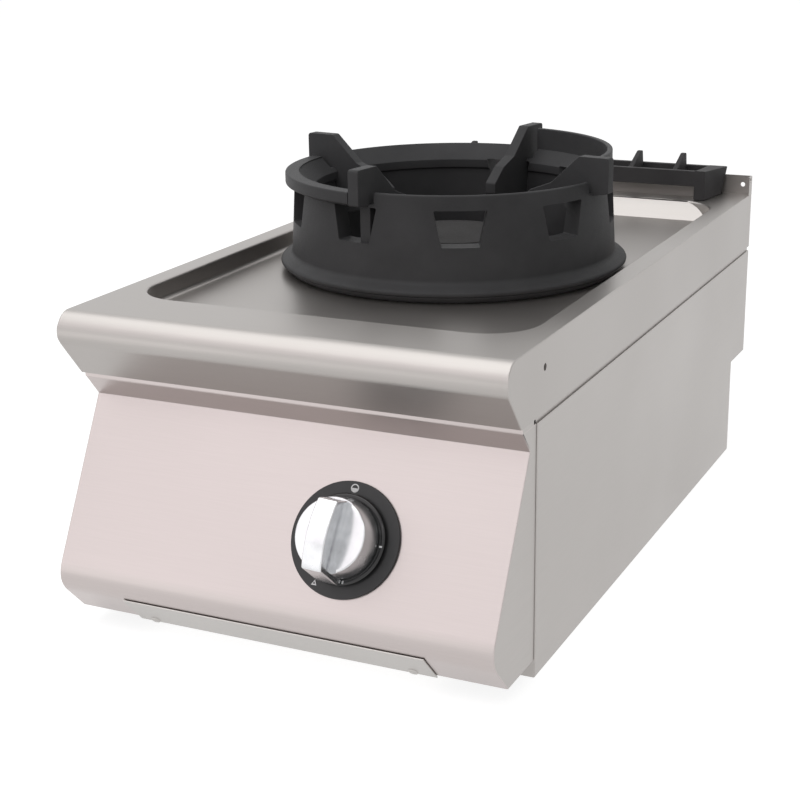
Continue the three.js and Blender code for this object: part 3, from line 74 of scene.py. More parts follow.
back = Vector((
    sin(CAMERA_AZIMUTH) * cos(CAMERA_ELEVATION),
    -cos(CAMERA_AZIMUTH) * cos(CAMERA_ELEVATION),
    sin(CAMERA_ELEVATION),
))
level = Vector((cos(CAMERA_AZIMUTH), sin(CAMERA_AZIMUTH), 0))
turn = Matrix.Rotation(CAMERA_ROLL, 3, back)
axes = Matrix((turn @ level, turn @ back.cross(level), back)).transposed()
camera_data = bpy.data.cameras.new("camera")
camera_data.sensor_width = 36
camera_data.lens = CAMERA_LENS
camera = bpy.data.objects.new("camera", camera_data)
camera.matrix_world = Matrix.Translation(CAMERA_PLACE) @ axes.to_4x4()
bpy.context.scene.collection.objects.link(camera)
bpy.context.scene.camera = camera

# %% [markdown]
# ## Stage and light
# Stainless steel shows what stands round it more than it shows its own colour, so the room matters.
# A white room without edges gives the even satin of a catalogue picture. The floor is a shade
# darker to the light that bounces, and white to the eye and to mirrors, so it doesn't light the
# underside too much and still keeps the shadow. Four soft lamps shape the folds: a broad one in
# front, faintly rose, a large one overhead, a low card that lights the nose's front from below, and
# a small one for the knob's glints.

# %% Floor and room
FLOOR_SIZE = 40
FLOOR_LEVEL = -0.2
FLOOR_BOUNCE = 0.62
FLOOR_GLOW = 0.87
FLOOR_WHITE = 0.38
ROOM_LIGHT = 0.36
# The body's footprint, where the floor's glow is left out: a painted shade under the body.
PAINTED_SHADE_X = (-199, 199)
PAINTED_SHADE_Y = (-250, 332)


def clear_selection():
    """Back to object mode, with nothing selected."""
    if bpy.context.mode != "OBJECT":
        bpy.ops.object.mode_set(mode="OBJECT")
    bpy.ops.object.select_all(action="DESELECT")


def calculate(tree, operation, first, second=0):
    """The result of a math node. Each value is a number or another node's output."""
    node = tree.nodes.new("ShaderNodeMath")
    node.operation = operation
    for socket, value in zip(node.inputs, (first, second)):
        if isinstance(value, (int, float)):
            socket.default_value = value
        else:
            tree.links.new(value, socket)
    return node.outputs[0]


def seen_or_mirrored(tree):
    """1 for rays that the eye or a mirror sends, and 0 for light that bounces."""
    rays = tree.nodes.new("ShaderNodeLightPath").outputs
    either = calculate(tree, "MAXIMUM", rays["Is Camera Ray"], rays["Is Glossy Ray"])
    return calculate(tree, "MAXIMUM", either, rays["Is Transmission Ray"])


def two_greys(tree, bounce, seen, socket):
    """Drives a colour: one grey to the eye and to mirrors, another to light that bounces."""
    choose = tree.nodes.new("ShaderNodeMix")
    choose.data_type = "RGBA"
    choose.inputs["A"].default_value = (bounce, bounce, bounce, 1)
    choose.inputs["B"].default_value = (seen, seen, seen, 1)
    tree.links.new(seen_or_mirrored(tree), choose.inputs["Factor"])
    tree.links.new(choose.outputs["Result"], socket)


def outside_painted_shade(tree):
    """1 on the open floor and 0 under the body, which has no bottom; there the floor's glow is left
    out, a painted shade in the body's footprint.
    """
    place = tree.nodes.new("ShaderNodeSeparateXYZ")
    tree.links.new(tree.nodes.new("ShaderNodeTexCoord").outputs["Object"], place.inputs[0])
    outside = []
    for axis, (low, high) in (("X", PAINTED_SHADE_X), ("Y", PAINTED_SHADE_Y)):
        away = calculate(tree, "SUBTRACT", place.outputs[axis], (low + high) / 2 * MM)
        away = calculate(tree, "ABSOLUTE", away)
        outside.append(calculate(tree, "GREATER_THAN", away, (high - low) / 2 * MM))
    return calculate(tree, "MAXIMUM", *outside)


clear_selection()
bpy.ops.mesh.primitive_plane_add(size=FLOOR_SIZE, location=(0, 0, FLOOR_LEVEL * MM))
floor = bpy.context.object
floor.name = "floor"
floor_finish = bpy.data.materials.new("white_floor")
floor_finish.use_nodes = True
floor_tree = floor_finish.node_tree
floor_shader = floor_tree.nodes["Principled BSDF"]
floor_shader.inputs["Roughness"].default_value = 1
floor_shader.inputs["Specular IOR Level"].default_value = 0
two_greys(floor_tree, FLOOR_BOUNCE, FLOOR_WHITE, floor_shader.inputs["Base Color"])
glow = calculate(floor_tree, "MULTIPLY", seen_or_mirrored(floor_tree), FLOOR_GLOW)
# No glow in the body's footprint: painted shade, so the floor inside the body looks dark.
glow = calculate(floor_tree, "MULTIPLY", glow, outside_painted_shade(floor_tree))
floor_shader.inputs["Emission Color"].default_value = (1, 1, 1, 1)
floor_tree.links.new(glow, floor_shader.inputs["Emission Strength"])
floor.data.materials.append(floor_finish)

world = bpy.data.worlds.new("white_room")
world.use_nodes = True
bpy.context.scene.world = world
two_greys(world.node_tree, ROOM_LIGHT, 1, world.node_tree.nodes["Background"].inputs["Color"])
bpy.context.scene.view_settings.view_transform = "Standard"
print("floor", FLOOR_SIZE, "m wide, room light", ROOM_LIGHT)

# %% Lamps
# Each lamp: its place and size in metres, its power in watts and its colour.
LAMPS = {
    "front_softbox": ((-0.95, -2.05, 1.45), (2.6, 1.5), 7.4, (1, 0.90, 0.94)),
    "overhead_strip": ((-0.6, -0.42, 2.0), (2.4, 2.0), 19, (1, 1, 1)),
    "front_card": ((-0.45, -0.95, 0.02), (1.0, 0.6), 0.95, (1, 0.97, 0.97)),
    "knob_glint": ((0.7, -1.3, 1.4), (0.25, 0.25), 1.2, (1, 1, 1)),
}
LAMP_AIM = Vector((0, -0.15, 0.2))

for lamp_name, (place, size, power, tone) in LAMPS.items():
    light = bpy.data.lights.new(lamp_name, "AREA")
    light.shape = "RECTANGLE"
    light.size, light.size_y = size
    light.energy = power
    light.color = tone
    stand = bpy.data.objects.new(lamp_name, light)
    stand.location = place
    stand.rotation_euler = (LAMP_AIM - Vector(place)).to_track_quat("-Z", "Y").to_euler()
    bpy.context.scene.collection.objects.link(stand)
    print(lamp_name, power, "W")

# %% [markdown]
# ## Finishes
# Every finish is one Principled shader with noises in Object coordinates: one for a faint change of
# tone, one for a change of roughness and one for a very shallow grain. On sheet steel the noise is
# drawn out along the direction that the metal was ground in. What makes steel look like steel and
# iron like iron is how strong each of the three is, and at what scale.

# %% Building a finish
NOISE_SPAN = (0.3, 0.7)
# Each noise: its scale, its detail and how far it is squeezed along each axis.
GROUND_X = (1400, 2, (0.015, 1, 1))
GROUND_Y = (1400, 2, (1, 0.015, 1))
CLOUDS = (5, 2, (1, 1, 1))
SAND = (900, 4, (1, 1, 1))
PATCHES = (22, 3, (1, 1, 1))
BLOOM = (60, 3, (1, 1, 1))
FINE = (1200, 2, (1, 1, 1))
PEEL = (350, 2, (1, 1, 1))
# Each kind: metallic and specular level, the noise and the two ends of its tone, the noise and the
# two ends of its roughness, and the noise and the depth in metres of its grain.
KINDS = {
    "sheet_x": (1, 0.5, GROUND_X, (0.985, 1.015), CLOUDS, (-0.03, 0.03), GROUND_X, 0.000002),
    "sheet_y": (1, 0.5, GROUND_Y, (0.985, 1.015), CLOUDS, (-0.03, 0.03), GROUND_Y, 0.000002),
    "iron": (0, 0.1, PATCHES, (0.88, 1.12), SAND, (-0.08, 0.08), SAND, 0.00012),
    "cast": (1, 0.5, BLOOM, (0.85, 1.08), BLOOM, (-0.06, 0.08), FINE, 0.00001),
    "chrome": (1, 0.5, BLOOM, (0.85, 1.08), BLOOM, (-0.06, 0.08), FINE, 0.000001),
    "plastic": (0, 0.5, PEEL, (0.94, 1.06), PEEL, (-0.03, 0.03), PEEL, 0.000006),
}


def linear(colour):
    """A colour given in 0 to 255, in the linear levels that a shader wants."""
    levels = [value / 255 for value in colour]
    return [v / 12.92 if v <= 0.04045 else ((v + 0.055) / 1.055) ** 2.4 for v in levels]


def object_noise(tree, scale, detail, squeeze):
    """A noise in Object coordinates; a small squeeze draws it out along that axis."""
    place = tree.nodes.new("ShaderNodeTexCoord")
    mapping = tree.nodes.new("ShaderNodeMapping")
    mapping.inputs["Scale"].default_value = squeeze
    noise = tree.nodes.new("ShaderNodeTexNoise")
    noise.inputs["Scale"].default_value = scale
    noise.inputs["Detail"].default_value = detail
    tree.links.new(place.outputs["Object"], mapping.inputs["Vector"])
    tree.links.new(mapping.outputs["Vector"], noise.inputs["Vector"])
    return noise.outputs["Fac"]


def make_finish(name, kind, colour, roughness):
    """A material whose tone, roughness and grain follow noises, as its kind says."""
    metallic, shine, tone_noise, tones, polish_noise, swing, grain_noise, depth = KINDS[kind]
    finish = bpy.data.materials.new(name)
    finish.use_nodes = True
    tree = finish.node_tree
    shader = tree.nodes["Principled BSDF"]
    shader.inputs["Metallic"].default_value = metallic
    shader.inputs["Roughness"].default_value = roughness
    shader.inputs["Specular IOR Level"].default_value = shine

    ramp = tree.nodes.new("ShaderNodeValToRGB")
    for stop, position, factor in zip(ramp.color_ramp.elements, NOISE_SPAN, tones):
        stop.position = position
        stop.color = (*[min(1, level * factor) for level in linear(colour)], 1)
    tree.links.new(object_noise(tree, *tone_noise), ramp.inputs["Fac"])
    tree.links.new(ramp.outputs["Color"], shader.inputs["Base Color"])

    polish = tree.nodes.new("ShaderNodeMapRange")
    for socket, value in zip(("From Min", "From Max", "To Min", "To Max"),
                             (*NOISE_SPAN, roughness + swing[0], roughness + swing[1])):
        polish.inputs[socket].default_value = value
    tree.links.new(object_noise(tree, *polish_noise), polish.inputs["Value"])
    tree.links.new(polish.outputs["Result"], shader.inputs["Roughness"])

    bump = tree.nodes.new("ShaderNodeBump")
    bump.inputs["Strength"].default_value = 1
    bump.inputs["Distance"].default_value = depth
    tree.links.new(object_noise(tree, *grain_noise), bump.inputs["Height"])
    tree.links.new(bump.outputs["Normal"], shader.inputs["Normal"])
    return finish


# %% The range's finishes
FINISHES = {
    "worktop_steel": ("sheet_x", (171, 167, 164), 0.38),
    "body_steel": ("sheet_y", (175, 171, 168), 0.38),
    # panel_steel is the sides' steel painted lighter and faintly rose: painted light and a painted
    # rose reflection of the front lamp on the sloping face.
    "panel_steel": ("sheet_x", (186, 178, 176), 0.34),
    # tray_steel is the same steel painted lighter: painted light that lifts the tray front out of the
    # shade near the floor.
    "tray_steel": ("sheet_x", (184, 181, 178), 0.38),
    "ring_iron": ("iron", (68, 68, 69), 0.52),
    "grille_iron": ("iron", (70, 69, 70), 0.60),
    "burner_iron": ("iron", (62, 61, 61), 0.70),
    "black_plastic": ("plastic", (30, 30, 31), 0.46),
    "gloss_plastic": ("plastic", (22, 22, 23), 0.16),
    "white_print": ("plastic", (232, 232, 232), 0.50),
    "knob_chrome": ("chrome", (216, 217, 219), 0.22),
    "zinc": ("cast", (178, 181, 184), 0.42),
    "valve_brass": ("cast", (196, 160, 98), 0.34),
    "copper_tube": ("cast", (205, 130, 94), 0.30),
}
finishes = {name: make_finish(name, *look) for name, look in FINISHES.items()}
print(len(finishes), "finishes")

# %% [markdown]
# ## Tools for shaping
# Each piece is shaped the way a hand would: a line is drawn point by point and filled, a face is
# pulled out, a profile is spun, an edge is bevelled, and one solid is cut with another. The helpers
# below only save typing. Places are given as x, forward and up in millimetres, where forward is
# measured from the worktop's rear face, because a cook's range is built and measured from its wall.

# %% Places and selections
X, Y, Z = range(3)
FLAT_FOLD = radians(8)
NEAR = 0.1
ALONG = 0.9


def spot(x, forward, up):
    """A place on the range, in metres."""
    return Vector((x, REAR_FACE - forward, up)) * MM


def only(piece):
    """Selects one object and makes it the active one."""
    clear_selection()
    piece.select_set(True)
    bpy.context.view_layer.objects.active = piece


def edit(piece):
    """Opens a piece in edit mode."""
    only(piece)
    bpy.ops.object.mode_set(mode="EDIT")


def pick(piece, kind, test):
    """In edit mode, selects the vertices, edges or faces that pass a test, and counts them.
    The test gets x, forward and up in mm, and an edge's direction or a face's normal."""
    bpy.ops.mesh.select_mode(type=kind)
    bpy.ops.mesh.select_all(action="DESELECT")
    mesh = bmesh.from_edit_mesh(piece.data)
    found = 0
    for item in {"VERT": mesh.verts, "EDGE": mesh.edges, "FACE": mesh.faces}[kind]:
        if kind == "VERT":
            middle, line = item.co, item.normal
        elif kind == "EDGE":
            middle = (item.verts[0].co + item.verts[1].co) / 2
            line = (item.verts[1].co - item.verts[0].co).normalized()
            if len(item.link_faces) == 2 and item.calc_face_angle(0) < FLAT_FOLD:
                continue
        else:
            middle, line = item.calc_center_median(), item.normal
        if test(middle.x / MM, REAR_FACE - middle.y / MM, middle.z / MM, line):
            item.select_set(True)
            found += 1
    mesh.select_flush_mode()
    bmesh.update_edit_mesh(piece.data)
    return found


# %% Drawing, pulling and spinning
SEAM = 0.002


def extrude(step):
    """In edit mode, pulls what is selected out by a step."""
    bpy.ops.mesh.extrude_region_move(TRANSFORM_OT_translate={"value": step})


def bevel(width, segments):
    """In edit mode, rounds the selected edges."""
    bpy.ops.mesh.bevel(offset=width * MM, segments=segments, affect="EDGES")


def take_all():
    """In edit mode, selects the whole mesh."""
    bpy.ops.mesh.select_all(action="SELECT")


def mend(seam):
    """In edit mode, merges points that meet and turns every face outwards."""
    take_all()
    bpy.ops.mesh.remove_doubles(threshold=seam * MM)
    bpy.ops.mesh.normals_make_consistent(inside=False)


def draw(name, places):
    """A line of edges: one vertex, extruded from place to place. Leaves the piece in edit mode."""
    clear_selection()
    bpy.ops.mesh.primitive_plane_add(size=MM)
    piece = bpy.context.object
    piece.name = piece.data.name = name
    bpy.ops.object.mode_set(mode="EDIT")
    bpy.ops.mesh.select_mode(type="VERT")
    bpy.ops.mesh.merge(type="CENTER")
    bpy.ops.transform.translate(value=places[0])
    for start, end in zip(places, places[1:]):
        extrude(end - start)
    return piece


def pull(name, places, reach):
    """A closed outline, filled and pulled out into a solid."""
    piece = draw(name, places)
    take_all()
    bpy.ops.mesh.edge_face_add()
    extrude(reach)
    take_all()
    bpy.ops.mesh.normals_make_consistent(inside=False)
    return piece


def pull_across(name, places, left, right):
    """A [forward, up] outline on the range, pulled along x from one value to another."""
    return pull(name, [spot(left, *place) for place in places], Vector((right - left, 0, 0)) * MM)


def pull_up(name, places, low, high):
    """An [x, forward] outline on the range, pulled up from one level to another."""
    return pull(name, [spot(*place, low) for place in places], Vector((0, 0, high - low)) * MM)


def pull_loose(name, outline, axis, low, high):
    """An outline at the origin, in the plane across an axis, pulled from low to high along it."""
    places = [Vector((*place[:axis], low, *place[axis:])) * MM for place in outline]
    reach = Vector((0, 0, 0))
    reach[axis] = (high - low) * MM
    return pull(name, places, reach)


def spin_round(name, profile, steps, centre=Vector((0, 0, 0))):
    """A [radius, height] profile in mm, spun about an upright axis. A profile that doesn't end on
    the axis closes on itself."""
    line = [centre + Vector((radius, 0, height)) * MM for radius, height in profile]
    if profile[0][0] > 0:
        line.append(line[0])
    piece = draw(name, line)
    take_all()
    bpy.ops.mesh.spin(steps=steps, angle=2 * pi, center=centre, axis=(0, 0, 1))
    mend(SEAM)
    return piece


def arc(centre, radius, start, end, steps):
    """Points on an arc in a plane; angles in degrees, both ends included."""
    turns = [radians(start + (end - start) * step / steps) for step in range(steps + 1)]
    return [(centre[0] + radius * cos(turn), centre[1] + radius * sin(turn)) for turn in turns]


def round_corners(outline, radii, steps=4):
    """A closed outline with each corner rounded by its own radius; 0 keeps it sharp."""
    rounded = []
    for index, radius in enumerate(radii):
        corner = Vector(outline[index])
        if radius == 0:
            rounded.append(tuple(corner))
            continue
        before = Vector(outline[index - 1]) - corner
        after = Vector(outline[(index + 1) % len(outline)]) - corner
        half_angle = before.angle(after) / 2
        reach = min(radius / tan(half_angle), 0.48 * before.length, 0.48 * after.length)
        enter = corner + before.normalized() * reach
        leave = corner + after.normalized() * reach
        for step in range(steps + 1):
            share = step / steps
            point = enter * (1 - share) ** 2 + corner * 2 * share * (1 - share) + leave * share ** 2
            rounded.append(tuple(point))
    return rounded


# %% Cutting, joining and finishing
CLEAN_SEAM = 0.001


def modify(piece, kind, **settings):
    """Adds a modifier with its settings and applies it."""
    only(piece)
    modifier = piece.modifiers.new(kind.lower(), kind)
    for setting, value in settings.items():
        setattr(modifier, setting, value)
    bpy.ops.object.modifier_apply(modifier=modifier.name)
    return piece


def settle(piece, matrix=None):
    """Puts a piece in its place and keeps that in its mesh, with the object at the origin."""
    only(piece)
    if matrix is not None:
        piece.matrix_world = matrix
    bpy.ops.object.transform_apply(location=True, rotation=True, scale=True)
    return piece


def measure(piece):
    """A solid's volume in cubic centimetres, and how many edges don't have exactly two faces."""
    mesh = bmesh.new()
    mesh.from_mesh(piece.data)
    volume = mesh.calc_volume(signed=True) / (10 * MM) ** 3
    open_edges = sum(len(edge.link_faces) != 2 for edge in mesh.edges)
    mesh.free()
    return volume, open_edges


def combine(piece, tools, operation):
    """Cuts or joins solids with Boolean modifiers and applies them; the tools are used up."""
    for tool in tools:
        modify(piece, "BOOLEAN", object=tool, operation=operation, solver="MANIFOLD")
        bpy.data.objects.remove(tool)
    return piece


def gather(piece, others):
    """Makes separate solids one piece without joining their faces."""
    only(piece)
    for other in others:
        other.select_set(True)
    bpy.ops.object.join()
    return piece


def soften(piece, width, segments=2, angle=30):
    """Rounds every fold sharper than an angle."""
    return modify(piece, "BEVEL", width=width * MM, segments=segments, limit_method="ANGLE",
                  angle_limit=radians(angle), use_clamp_overlap=True)


def thicken(piece, thickness):
    """Gives a sheet its thickness, on the inner side."""
    return modify(piece, "SOLIDIFY", thickness=thickness * MM, offset=-1, use_even_offset=True)


def complete(piece, body, nodes, slot, finish=None, angle=30):
    """The last steps for every piece: clean mesh, crisp folds, finish, body, and the CAD nodes it
    replaces hidden.
    The finish is the slot's own, unless another is named."""
    edit(piece)
    mend(CLEAN_SEAM)
    settle(piece)
    bpy.ops.object.shade_smooth_by_angle(angle=radians(angle))
    modify(piece, "WEIGHTED_NORMAL", keep_sharp=True)
    piece.data.materials.clear()
    piece.data.materials.append(finishes[finish or slot])
    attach(piece, body)
    if nodes:
        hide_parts(*nodes)
    volume, open_edges = measure(piece)
    faces = len(piece.data.polygons)
    print(f"{piece.name}: {faces} faces, {open_edges} open edges, {volume:.1f} cm3")
    return piece


# %% [markdown]
# ## The worktop
# The real one is pressed and folded from one 1.5 mm sheet: a flat deck, a rolled nose that a cook
# leans on, skirts down the sides and a sunken pan that holds what boils over. It could be built from
# flat plates, but then every fold would be a knife edge. Here the outer skin is pulled out of one
# side outline, its folds are rounded, and the sheet gets its thickness last. The pan is a tub that
# is joined on and hollowed, since a drawn pan has a rounder floor than a folded box.

# %% Worktop: deck, nose and skirts
HALF_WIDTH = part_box("worktop")[1].x / MM
DEPTH = 730
DECK = 280
TOP_SHEET = 1.5
GAP = 0.3
OVER = 1
NOSE_RADIUS = 17
NOSE_SLOPE = 39.6
SKIRT_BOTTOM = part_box("worktop")[0].z / MM
NOSE_HEM = 12
NOSE_STEPS = 16
FOLD = 1.1

nose_centre = (DEPTH - NOSE_RADIUS, DECK - NOSE_RADIUS)
nose = arc(nose_centre, NOSE_RADIUS, 90, -NOSE_SLOPE, NOSE_STEPS)
slope_tan = tan(radians(NOSE_SLOPE))
nose_foot = (nose[-1][0] - (nose[-1][1] - SKIRT_BOTTOM) * slope_tan, SKIRT_BOTTOM)
side_outline = [(0, SKIRT_BOTTOM), (0, DECK), *nose, nose_foot]
worktop = pull_across("pressed_worktop", side_outline, -HALF_WIDTH, HALF_WIDTH)
pick(worktop, "FACE", lambda x, f, z, n: n.z < -ALONG)
bpy.ops.mesh.delete(type="FACE")
pick(worktop, "EDGE",
     lambda x, f, z, d: abs(d.x) > ALONG and z < SKIRT_BOTTOM + NEAR and f > DEPTH / 2)
extrude((0, NOSE_HEM * MM, 0))
thicken(worktop, TOP_SHEET)
edit(worktop)
pick(worktop, "EDGE", lambda x, f, z, d: z > SKIRT_BOTTOM + NEAR and (
    (f < NEAR and z > DECK - NEAR)
    or (abs(x) > HALF_WIDTH - NEAR and not (abs(d.z) > ALONG and f > DEPTH / 2))))
bevel(FOLD, 3)

# %% Worktop: the sunken pan
PAN_HALF = 180
PAN_SPAN = (64, 655)
PAN_CORNER = 45
PAN_DEPTH = 18
PAN_FLOOR = DECK - PAN_DEPTH
PAN_REAR_RUN = 19
PAN_FLOOR_ROUND = 5
PAN_RIM_ROUND = 2.2
CORNER_STEPS = 12


def tub(name, half, span, corner, bottom, top):
    """A solid with the pan's rounded outline, from one level to another."""
    outline = [
        *arc((half - corner, span[1] - corner), corner, 0, 90, CORNER_STEPS),
        *arc((corner - half, span[1] - corner), corner, 90, 180, CORNER_STEPS),
        *arc((corner - half, span[0] + corner), corner, 180, 270, CORNER_STEPS),
        *arc((half - corner, span[0] + corner), corner, 270, 360, CORNER_STEPS),
    ]
    return pull_up(name, outline, bottom, top)


def pan_wedge(name, drop):
    """The space behind the pan's sloping rear wall, or below it by the sheet's thickness."""
    run = Vector((PAN_REAR_RUN, -PAN_DEPTH))
    edge = Vector((PAN_SPAN[0], DECK)) + Vector((-PAN_DEPTH, -PAN_REAR_RUN)) * drop / run.length
    high, low = edge - run, edge + 2 * run
    return pull_across(name, (high, low, (high.x, low.y)), -HALF_WIDTH, HALF_WIDTH)


outer_tub = tub(
    "outer_tub", PAN_HALF + TOP_SHEET, (PAN_SPAN[0] - TOP_SHEET, PAN_SPAN[1] + TOP_SHEET),
    PAN_CORNER + TOP_SHEET, PAN_FLOOR - TOP_SHEET, DECK - TOP_SHEET / 2)
hollow = tub("hollow", PAN_HALF, PAN_SPAN, PAN_CORNER, PAN_FLOOR, DECK + OVER)
pick(hollow, "EDGE", lambda x, f, z, d: z < PAN_FLOOR + NEAR)
bevel(PAN_FLOOR_ROUND, 5)
combine(outer_tub, [pan_wedge("outer_wedge", TOP_SHEET)], "DIFFERENCE")
combine(hollow, [pan_wedge("inner_wedge", 0)], "DIFFERENCE")
combine(worktop, [outer_tub], "UNION")
combine(worktop, [hollow], "DIFFERENCE")
edit(worktop)
rim_edges = pick(worktop, "EDGE", lambda x, f, z, d: z > DECK - NEAR
                 and abs(x) < PAN_HALF + OVER and PAN_SPAN[0] - OVER < f < PAN_SPAN[1] + OVER)
bevel(PAN_RIM_ROUND, 4)
print("pan rim", rim_edges, "edges")

# %% Worktop: burner opening, flue slot, upstand and holes
BURNER = 367
OPENING_RADIUS = 118
COLLAR_HEIGHT = 6
COLLAR_FOOT = 4
FLUE_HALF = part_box("flue_duct")[1].x / MM
FLUE_LIP = 7
FLUE_SPAN = (14, 40)
UPSTAND_HEIGHT = 20
UPSTAND_RETURN = 13
UPSTAND_HOLE = 2.5
SKIRT_HOLE = 3
burner_axis = spot(0, BURNER, 0)


def box_solid(name, xs, forwards, ups):
    """A plain block between two values each way, for joining and cutting."""
    outline = [(xs[0], forwards[0]), (xs[1], forwards[0]),
               (xs[1], forwards[1]), (xs[0], forwards[1])]
    return pull_up(name, outline, *ups)


def drill(name, centre, radius, along, length, sides=24):
    """A round solid that stands on a centre point and reaches along an axis, for holes."""
    clear_selection()
    turned = UP.rotation_difference(along).to_euler()
    middle = centre + along * length * MM / 2
    bpy.ops.mesh.primitive_cylinder_add(
        vertices=sides, radius=radius * MM, depth=length * MM, location=middle, rotation=turned)
    tool = bpy.context.object
    tool.name = name
    return settle(tool)


bore, foot, wall = OPENING_RADIUS, OPENING_RADIUS + COLLAR_FOOT, OPENING_RADIUS + TOP_SHEET
rim = PAN_FLOOR + COLLAR_HEIGHT
collar = spin_round("collar", [
    (bore, PAN_FLOOR - TOP_SHEET), (foot, PAN_FLOOR - TOP_SHEET), (foot, PAN_FLOOR),
    (wall + 0.7, PAN_FLOOR + 0.7), (wall, PAN_FLOOR + 2), (wall, rim - 0.4), (wall - 0.4, rim),
    (bore, rim),
], 96, burner_axis)
opening = drill("opening", burner_axis + UP * (PAN_FLOOR - 3) * MM, OPENING_RADIUS + 2, UP, 8, 96)
slot_half = FLUE_HALF - FLUE_LIP + GAP
slot_cut = box_solid("slot_cut", (-slot_half, slot_half), (FLUE_SPAN[0] - GAP, FLUE_SPAN[1] + GAP),
                     (DECK - TOP_SHEET - OVER, DECK + OVER))
combine(worktop, [opening, slot_cut], "DIFFERENCE")
combine(worktop, [collar], "UNION")

inner = HALF_WIDTH - TOP_SHEET
upstand_outline = round_corners([
    (-HALF_WIDTH, 0), (HALF_WIDTH, 0), (HALF_WIDTH, UPSTAND_RETURN), (inner, UPSTAND_RETURN),
    (inner, TOP_SHEET), (-inner, TOP_SHEET), (-inner, UPSTAND_RETURN), (-HALF_WIDTH, UPSTAND_RETURN),
], [1, 1, 0, 0, 0, 0, 0, 0])
upstand = pull_up("upstand", upstand_outline, DECK - TOP_SHEET / 2, DECK + UPSTAND_HEIGHT)
combine(worktop, [upstand], "UNION")
HOLE_INSET = 10
SKIRT_HOLE_PLACE = (DEPTH - 78, DECK - 22)
RETURN_HOLE_PLACE = (0.6 * UPSTAND_RETURN, DECK + 0.8 * UPSTAND_HEIGHT)
holes = [drill(name, spot(-HALF_WIDTH - OVER, *place), radius, RIGHT, 2 * (HALF_WIDTH + OVER))
         for name, place, radius in (("skirt_hole", SKIRT_HOLE_PLACE, SKIRT_HOLE),
                                     ("return_hole", RETURN_HOLE_PLACE, UPSTAND_HOLE))]
for side in (-1, 1):
    place = spot(side * (HALF_WIDTH - HOLE_INSET), -OVER, DECK + UPSTAND_HEIGHT / 2)
    holes.append(drill("upstand_hole", place, UPSTAND_HOLE, Vector((0, -1, 0)),
                       TOP_SHEET + 2 * OVER))
combine(worktop, holes, "DIFFERENCE")
complete(worktop, "body", ["worktop"], "worktop_steel")

# %% [markdown]
# ## The side panels
# Each side is one folded tray: a flat face with a flange turned in at the front and the bottom, and
# a web that stands up behind the worktop's skirt. One is folded here from its outline by pulling the
# edges inwards, and the other is its mirror image with a mesh of its own.

# %% Side panels
BODY_SHEET = 1.2
BODY_TOP = 217
SIDE_FRONT = 666.6
SIDE_REAR = 2
RECESS_FRONT = 57
RECESS_TOP = 102
FRONT_FLANGE = 14
BOTTOM_FLANGE = 20
EDGE_ROUND = 0.9
WEB_INSET = TOP_SHEET + GAP
WEB_TOP = DECK - TOP_SHEET - GAP

side_face = [(SIDE_FRONT, 0), (SIDE_FRONT, BODY_TOP), (SIDE_REAR, BODY_TOP),
             (SIDE_REAR, RECESS_TOP), (RECESS_FRONT, RECESS_TOP), (RECESS_FRONT, 0)]
side_right = draw("folded_side_right", [spot(HALF_WIDTH, forward, up) for forward, up in side_face])
take_all()
bpy.ops.mesh.edge_face_add()
pick(side_right, "EDGE", lambda x, f, z, d: f > SIDE_FRONT - NEAR)
extrude((-FRONT_FLANGE * MM, 0, 0))
pick(side_right, "EDGE", lambda x, f, z, d: z < NEAR and abs(d.y) > ALONG)
extrude((-BOTTOM_FLANGE * MM, 0, 0))
pick(side_right, "EDGE", lambda x, f, z, d: z > BODY_TOP - NEAR and abs(d.y) > ALONG)
extrude((-WEB_INSET * MM, 0, 0))
extrude((0, 0, (WEB_TOP - BODY_TOP) * MM))
pick(side_right, "EDGE", lambda x, f, z, d: x > HALF_WIDTH - NEAR and (
    f > SIDE_FRONT - NEAR or (abs(d.y) > ALONG and (z < NEAR or z > BODY_TOP - NEAR))))
bevel(EDGE_ROUND, 2)
take_all()
bpy.ops.mesh.normals_make_consistent(inside=False)
mesh = bmesh.from_edit_mesh(side_right.data)
outer_face = max(mesh.faces, key=lambda face: face.calc_area())
if outer_face.normal.x < 0:
    bpy.ops.mesh.flip_normals()
thicken(side_right, BODY_SHEET)
side_left = side_right.copy()
side_left.data = side_right.data.copy()
side_left.name = side_left.data.name = "folded_side_left"
bpy.context.scene.collection.objects.link(side_left)
only(side_left)
bpy.ops.transform.resize(value=(-1, 1, 1), center_override=(0, 0, 0))
settle(side_left)
complete(side_right, "body", ["side_panel_right"], "body_steel")
complete(side_left, "body", ["side_panel_left"], "body_steel")

# %% [markdown]
# ## The control panel
# The panel is folded across its width: a small ledge and a strip tucked under the nose, the sloping
# face, a wide lower bend and a flange that leans back. Cheeks close its ends and are ground
# the same way as the side panels. The section is drawn once, pulled across, and opened at the rear
# and below before the sheet gets its thickness.

# %% Control panel
PANEL_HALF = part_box("control_panel")[1].x / MM
PANEL_TOP = 197.3
PANEL_EDGE = (679.9, PANEL_TOP)
LEDGE_EDGE = (PANEL_EDGE[0] + (BODY_TOP - PANEL_TOP) * slope_tan, BODY_TOP)
PANEL_LEAN = radians(28)
FLANGE_LEAN = radians(44.1)
PANEL_LENGTH = 165
PANEL_BEND = 25
FLANGE_LENGTH = 49.6
PANEL_REAR = SIDE_FRONT + GAP
LIP_TOP = SKIRT_BOTTOM - 2 * GAP
LIP_RETURN = 24
TRAY_SLOT_HALF = 134.7
TRAY_SLOT_TOP = 40.7
STEM_HOLE = 5.5
KNOB_X = 60
KNOB_DOWN = 89.7

